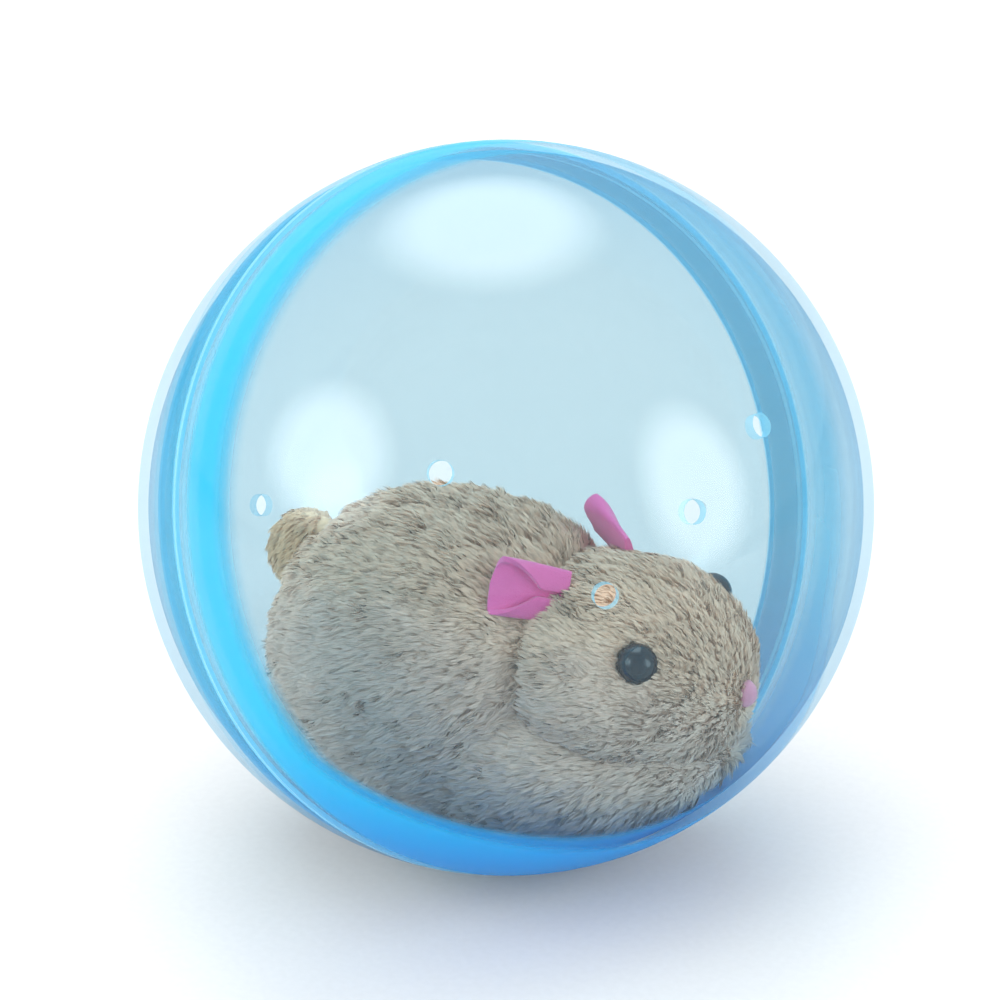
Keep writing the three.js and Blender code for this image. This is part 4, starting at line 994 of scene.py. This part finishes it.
class PETBALL_OT_face(bpy.types.Operator):
    """Model the bead eyes, the nose and the tail"""

    bl_idname = "pet_ball.face"
    bl_label = "Eyes, nose and tail"

    def execute(self, context):
        bead = glossy_bead()
        for name in ("eye_left", "eye_right"):
            low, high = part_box(name)
            clear_selection()
            bpy.ops.mesh.primitive_uv_sphere_add(segments=48, ring_count=32, radius=(high - low).x / 2)
            piece = named(f"bead_{name}")
            place(piece, Matrix.Translation((low + high) / 2))
            smooth(piece, 180)
            finish_piece(piece, "hamster", bead, "black_bead", name)
        nose = stuffed_bit("nose", "nose_pad")
        flock = felt("flocked_nose", plush_settings().nose, NOSE_FIBRE)
        finish_piece(nose, "hamster", flock, "nose_felt", "nose")
        brown = plush_fur("acrylic_pile_brown", plush_settings().tail, plush_settings().tail)
        tail = stuffed_bit("tail", "tail_stub")
        finish_piece(tail, "hamster", brown, "brown_plush", "tail")

        def outer(roots, normals):
            return roots[:, 0] < TAIL_START * MM

        def downward(roots):
            return np.tile([-0.4, 0, -1.0], (len(roots), 1))

        coat("fur_tail", tail, outer, downward, 71, brown, "brown_plush", 0.7)
        return {"FINISHED"}


def stuffed_bit(node_name, name):
    """A stuffed copy of a small solid, with a finer grain than the body's."""
    piece = stuffed_copy(node_name, name)
    activate(piece)
    piece.data.remesh_voxel_size = BIT_VOXEL * MM
    bpy.ops.object.voxel_remesh()
    modify(piece, "SMOOTH", factor=0.5, iterations=4)
    smooth(piece, 180)
    return piece


# Drive unit


def drive_finishes():
    """Each material of the drive unit with the frame's nodes that are made of it."""
    white = moulded("abs_white", "#E9E9E4", 0.42)
    steel = moulded("steel_zinc_plated", "#B9BCC0", 0.3, grain=0.12, depth=0.004, metallic=1.0)
    nickel = moulded("nickel_plated_strip", "#D3CFC4", 0.25, grain=0.15, depth=0.003, metallic=1.0)
    black = moulded("abs_black", "#1C1C1F", 0.5)
    acetal = moulded("acetal_natural", "#F2EFE2", 0.38, ior=1.48)
    rubber = moulded("rubber_moulded", "#26262A", 0.85, ior=1.52, grain=0.3, depth=0.06)
    wrap = moulded("cell_sleeve_pvc", "#2F7D4F", 0.35)
    black_wire = moulded("pvc_black", "#17171A", 0.5)
    red_wire = moulded("pvc_red", "#B3231F", 0.5)
    return (
        (white, "chassis_tray", "chassis_cover", "battery_door", "wheel_hub_left", "wheel_hub_right"),
        (steel, "cover_screw_1", "cover_screw_2", "cover_screw_3", "cover_screw_4", "battery_door_screw",
         "drive_axle", "idler_pin", "motor_can", "motor_shaft", "front_axle"),
        (nickel, "contact_bridge", "contact_plate_positive", "contact_plate_negative",
         "contact_spring_front", "contact_spring_rear", "motor_pinion"),
        (black, "motor_end_cap", "switch_body", "switch_knob", "front_roller_left", "front_roller_right"),
        (acetal, "idler_gear", "axle_gear"),
        (rubber, "tyre_left", "tyre_right"),
        (wrap, "battery_left", "battery_right"),
        (black_wire, "wire_black", "wire_switch"),
        (red_wire, "wire_red"),
    )


class PETBALL_OT_drive(bpy.types.Operator):
    """Give the drive unit's pieces their materials"""

    bl_idname = "pet_ball.drive"
    bl_label = "Drive unit"

    def execute(self, context):
        for finish, *nodes in drive_finishes():
            for name in nodes:
                dress(frame["nodes"][name], finish)
        return {"FINISHED"}


# Stage


CAMERA_AZIMUTH = math.radians(27)
CAMERA_ELEVATION = math.radians(25)
CAMERA_DISTANCE = 0.644
TO_CAMERA = Vector((
    math.sin(CAMERA_AZIMUTH) * math.cos(CAMERA_ELEVATION),
    -math.cos(CAMERA_AZIMUTH) * math.cos(CAMERA_ELEVATION),
    math.sin(CAMERA_ELEVATION),
))
CAMERA_RIGHT = Vector((math.cos(CAMERA_AZIMUTH), math.sin(CAMERA_AZIMUTH), 0))
CAMERA_UP = TO_CAMERA.cross(CAMERA_RIGHT)
LENS = 136
SENSOR = 36
SHIFT = (-0.006, 0.0076)

# The floor's width, its tooth's spacing and its two near greys, and the light from all round
FLOOR_SIZE = 6
FLOOR_TOOTH = 1.5
FLOOR_GREYS = ("#D6D6D6", "#D9D9D9")
ALL_ROUND = 1.06

# Each lamp's name, direction (right, up, toward the camera), distance, width, depth and brightness
LAMPS = (
    ("softbox_top", (-0.06, 1.0, -0.05), 0.62, 0.62, 0.72, 4.6),
    ("softbox_left", (-0.8, 0.23, 0.56), 0.8, 0.75, 0.65, 4.9),
    ("softbox_right", (0.84, 0.09, 0.53), 0.8, 0.6, 0.8, 4.9),
)


def softbox(name, direction, distance, width, depth, brightness):
    """A soft lamp that faces the ball from a direction given by right, up and toward the camera. Its
    brightness is how bright its face looks, with white paper in full light at 1."""
    away = (CAMERA_RIGHT * direction[0] + CAMERA_UP * direction[1] + TO_CAMERA * direction[2]).normalized()
    clear_selection()
    bpy.ops.object.light_add(type="AREA", location=centre() + away * distance)
    lamp = named(name)
    lamp.rotation_euler = away.to_track_quat("Z", "Y").to_euler()
    lamp.data.shape = "RECTANGLE"
    lamp.data.size = width
    lamp.data.size_y = depth
    lamp.data.energy = brightness * math.pi * width * depth
    lamp.data.use_nodes = True
    tree = lamp.data.node_tree
    tree.nodes.clear()
    spot = node(tree, "ShaderNodeNewGeometry").outputs["Parametric"]
    middle = node(tree, "ShaderNodeVectorMath", {0: spot}, {1: (0.5, 0.5, 0)}, operation="SUBTRACT")
    flat = node(
        tree, "ShaderNodeVectorMath", {0: middle.outputs["Vector"]}, {1: (1, 1, 0)}, operation="MULTIPLY")
    reach = node(tree, "ShaderNodeVectorMath", {0: flat.outputs["Vector"]}, operation="LENGTH")
    soft = node(
        tree, "ShaderNodeMapRange", {"Value": reach.outputs["Value"]}, {"From Min": 0.5, "From Max": 0.22},
        interpolation_type="SMOOTHSTEP")
    face = node(tree, "ShaderNodeEmission", {"Strength": soft.outputs["Result"]})
    node(tree, "ShaderNodeOutputLight", {"Surface": face.outputs["Emission"]})


class PETBALL_OT_stage(bpy.types.Operator):
    """Add the floor, the soft lights and the camera"""

    bl_idname = "pet_ball.stage"
    bl_label = "Stage"

    def execute(self, context):
        clear_selection()
        bpy.ops.mesh.primitive_plane_add(size=FLOOR_SIZE)
        floor = named("floor")
        made = material("matt_paper_white")
        tree = made.node_tree
        point = node(tree, "ShaderNodeTexCoord").outputs["Object"]
        tooth = node(
            tree, "ShaderNodeTexNoise", {"Vector": point}, {"Scale": 1 / (FLOOR_TOOTH * MM), "Detail": 2})
        shade = node(tree, "ShaderNodeValToRGB", {"Fac": tooth.outputs["Fac"]})
        ramp_stops(shade, [(at, linear(grey)) for at, grey in zip((0.3, 0.7), FLOOR_GREYS)])
        shader = node(
            tree, "ShaderNodeBsdfPrincipled", {"Base Color": shade.outputs["Color"]},
            {"Roughness": 1.0, "Specular IOR Level": 0.0})
        output(tree, shader.outputs["BSDF"])
        dress(floor, made)

        world = bpy.data.worlds.new("white_studio")
        world.use_nodes = True
        world.node_tree.nodes.clear()
        sky = node(
            world.node_tree, "ShaderNodeBackground", values={"Color": (1, 1, 1, 1), "Strength": ALL_ROUND})
        node(world.node_tree, "ShaderNodeOutputWorld", {"Surface": sky.outputs["Background"]})
        context.scene.world = world

        for lamp in LAMPS:
            softbox(*lamp)

        clear_selection()
        bpy.ops.object.camera_add(location=centre() + TO_CAMERA * CAMERA_DISTANCE)
        camera = named("camera")
        camera.rotation_euler = TO_CAMERA.to_track_quat("Z", "Y").to_euler()
        camera.data.lens = LENS
        camera.data.sensor_width = SENSOR
        camera.data.shift_x, camera.data.shift_y = SHIFT
        context.scene.camera = camera
        context.scene.view_settings.view_transform = "Standard"
        return {"FINISHED"}


class PETBALL_PT_panel(bpy.types.Panel):
    """The pieces of the ball, in the order that they are built"""

    bl_idname = "PETBALL_PT_panel"
    bl_label = "Motorized pet ball"
    bl_space_type = "VIEW_3D"
    bl_region_type = "UI"
    bl_category = "Pet ball"

    def draw(self, context):
        layout = self.layout
        for name in ("diameter", "wall", "vent", "tint", "band", "shaded_band"):
            layout.prop(context.scene.pet_ball, name)
        for name in ("pile", "strand", "per_square_mm", "back", "flank", "smoke_and_root_shade", "tail", "nose", "felt"):
            layout.prop(context.scene.pet_plush, name)
        for operator in OPERATORS:
            layout.operator(operator.bl_idname)


OPERATORS = (
    PETBALL_OT_stage,
    PETBALL_OT_front_shell,
    PETBALL_OT_rear_shell,
    PETBALL_OT_plush,
    PETBALL_OT_ears,
    PETBALL_OT_face,
    PETBALL_OT_drive,
)
CLASSES = (BallSettings, PlushSettings, *OPERATORS, PETBALL_PT_panel)


def register():
    for made in CLASSES:
        bpy.utils.register_class(made)
    bpy.types.Scene.pet_ball = bpy.props.PointerProperty(type=BallSettings)
    bpy.types.Scene.pet_plush = bpy.props.PointerProperty(type=PlushSettings)


def unregister():
    del bpy.types.Scene.pet_plush
    del bpy.types.Scene.pet_ball
    for made in reversed(CLASSES):
        bpy.utils.unregister_class(made)


def main():
    register()
    bpy.ops.pet_ball.stage()
    bpy.ops.pet_ball.front_shell()
    bpy.ops.pet_ball.rear_shell()
    bpy.ops.pet_ball.plush()
    bpy.ops.pet_ball.ears()
    bpy.ops.pet_ball.face()
    bpy.ops.pet_ball.drive()
    clear_selection()


if __name__ == "__main__":
    main()
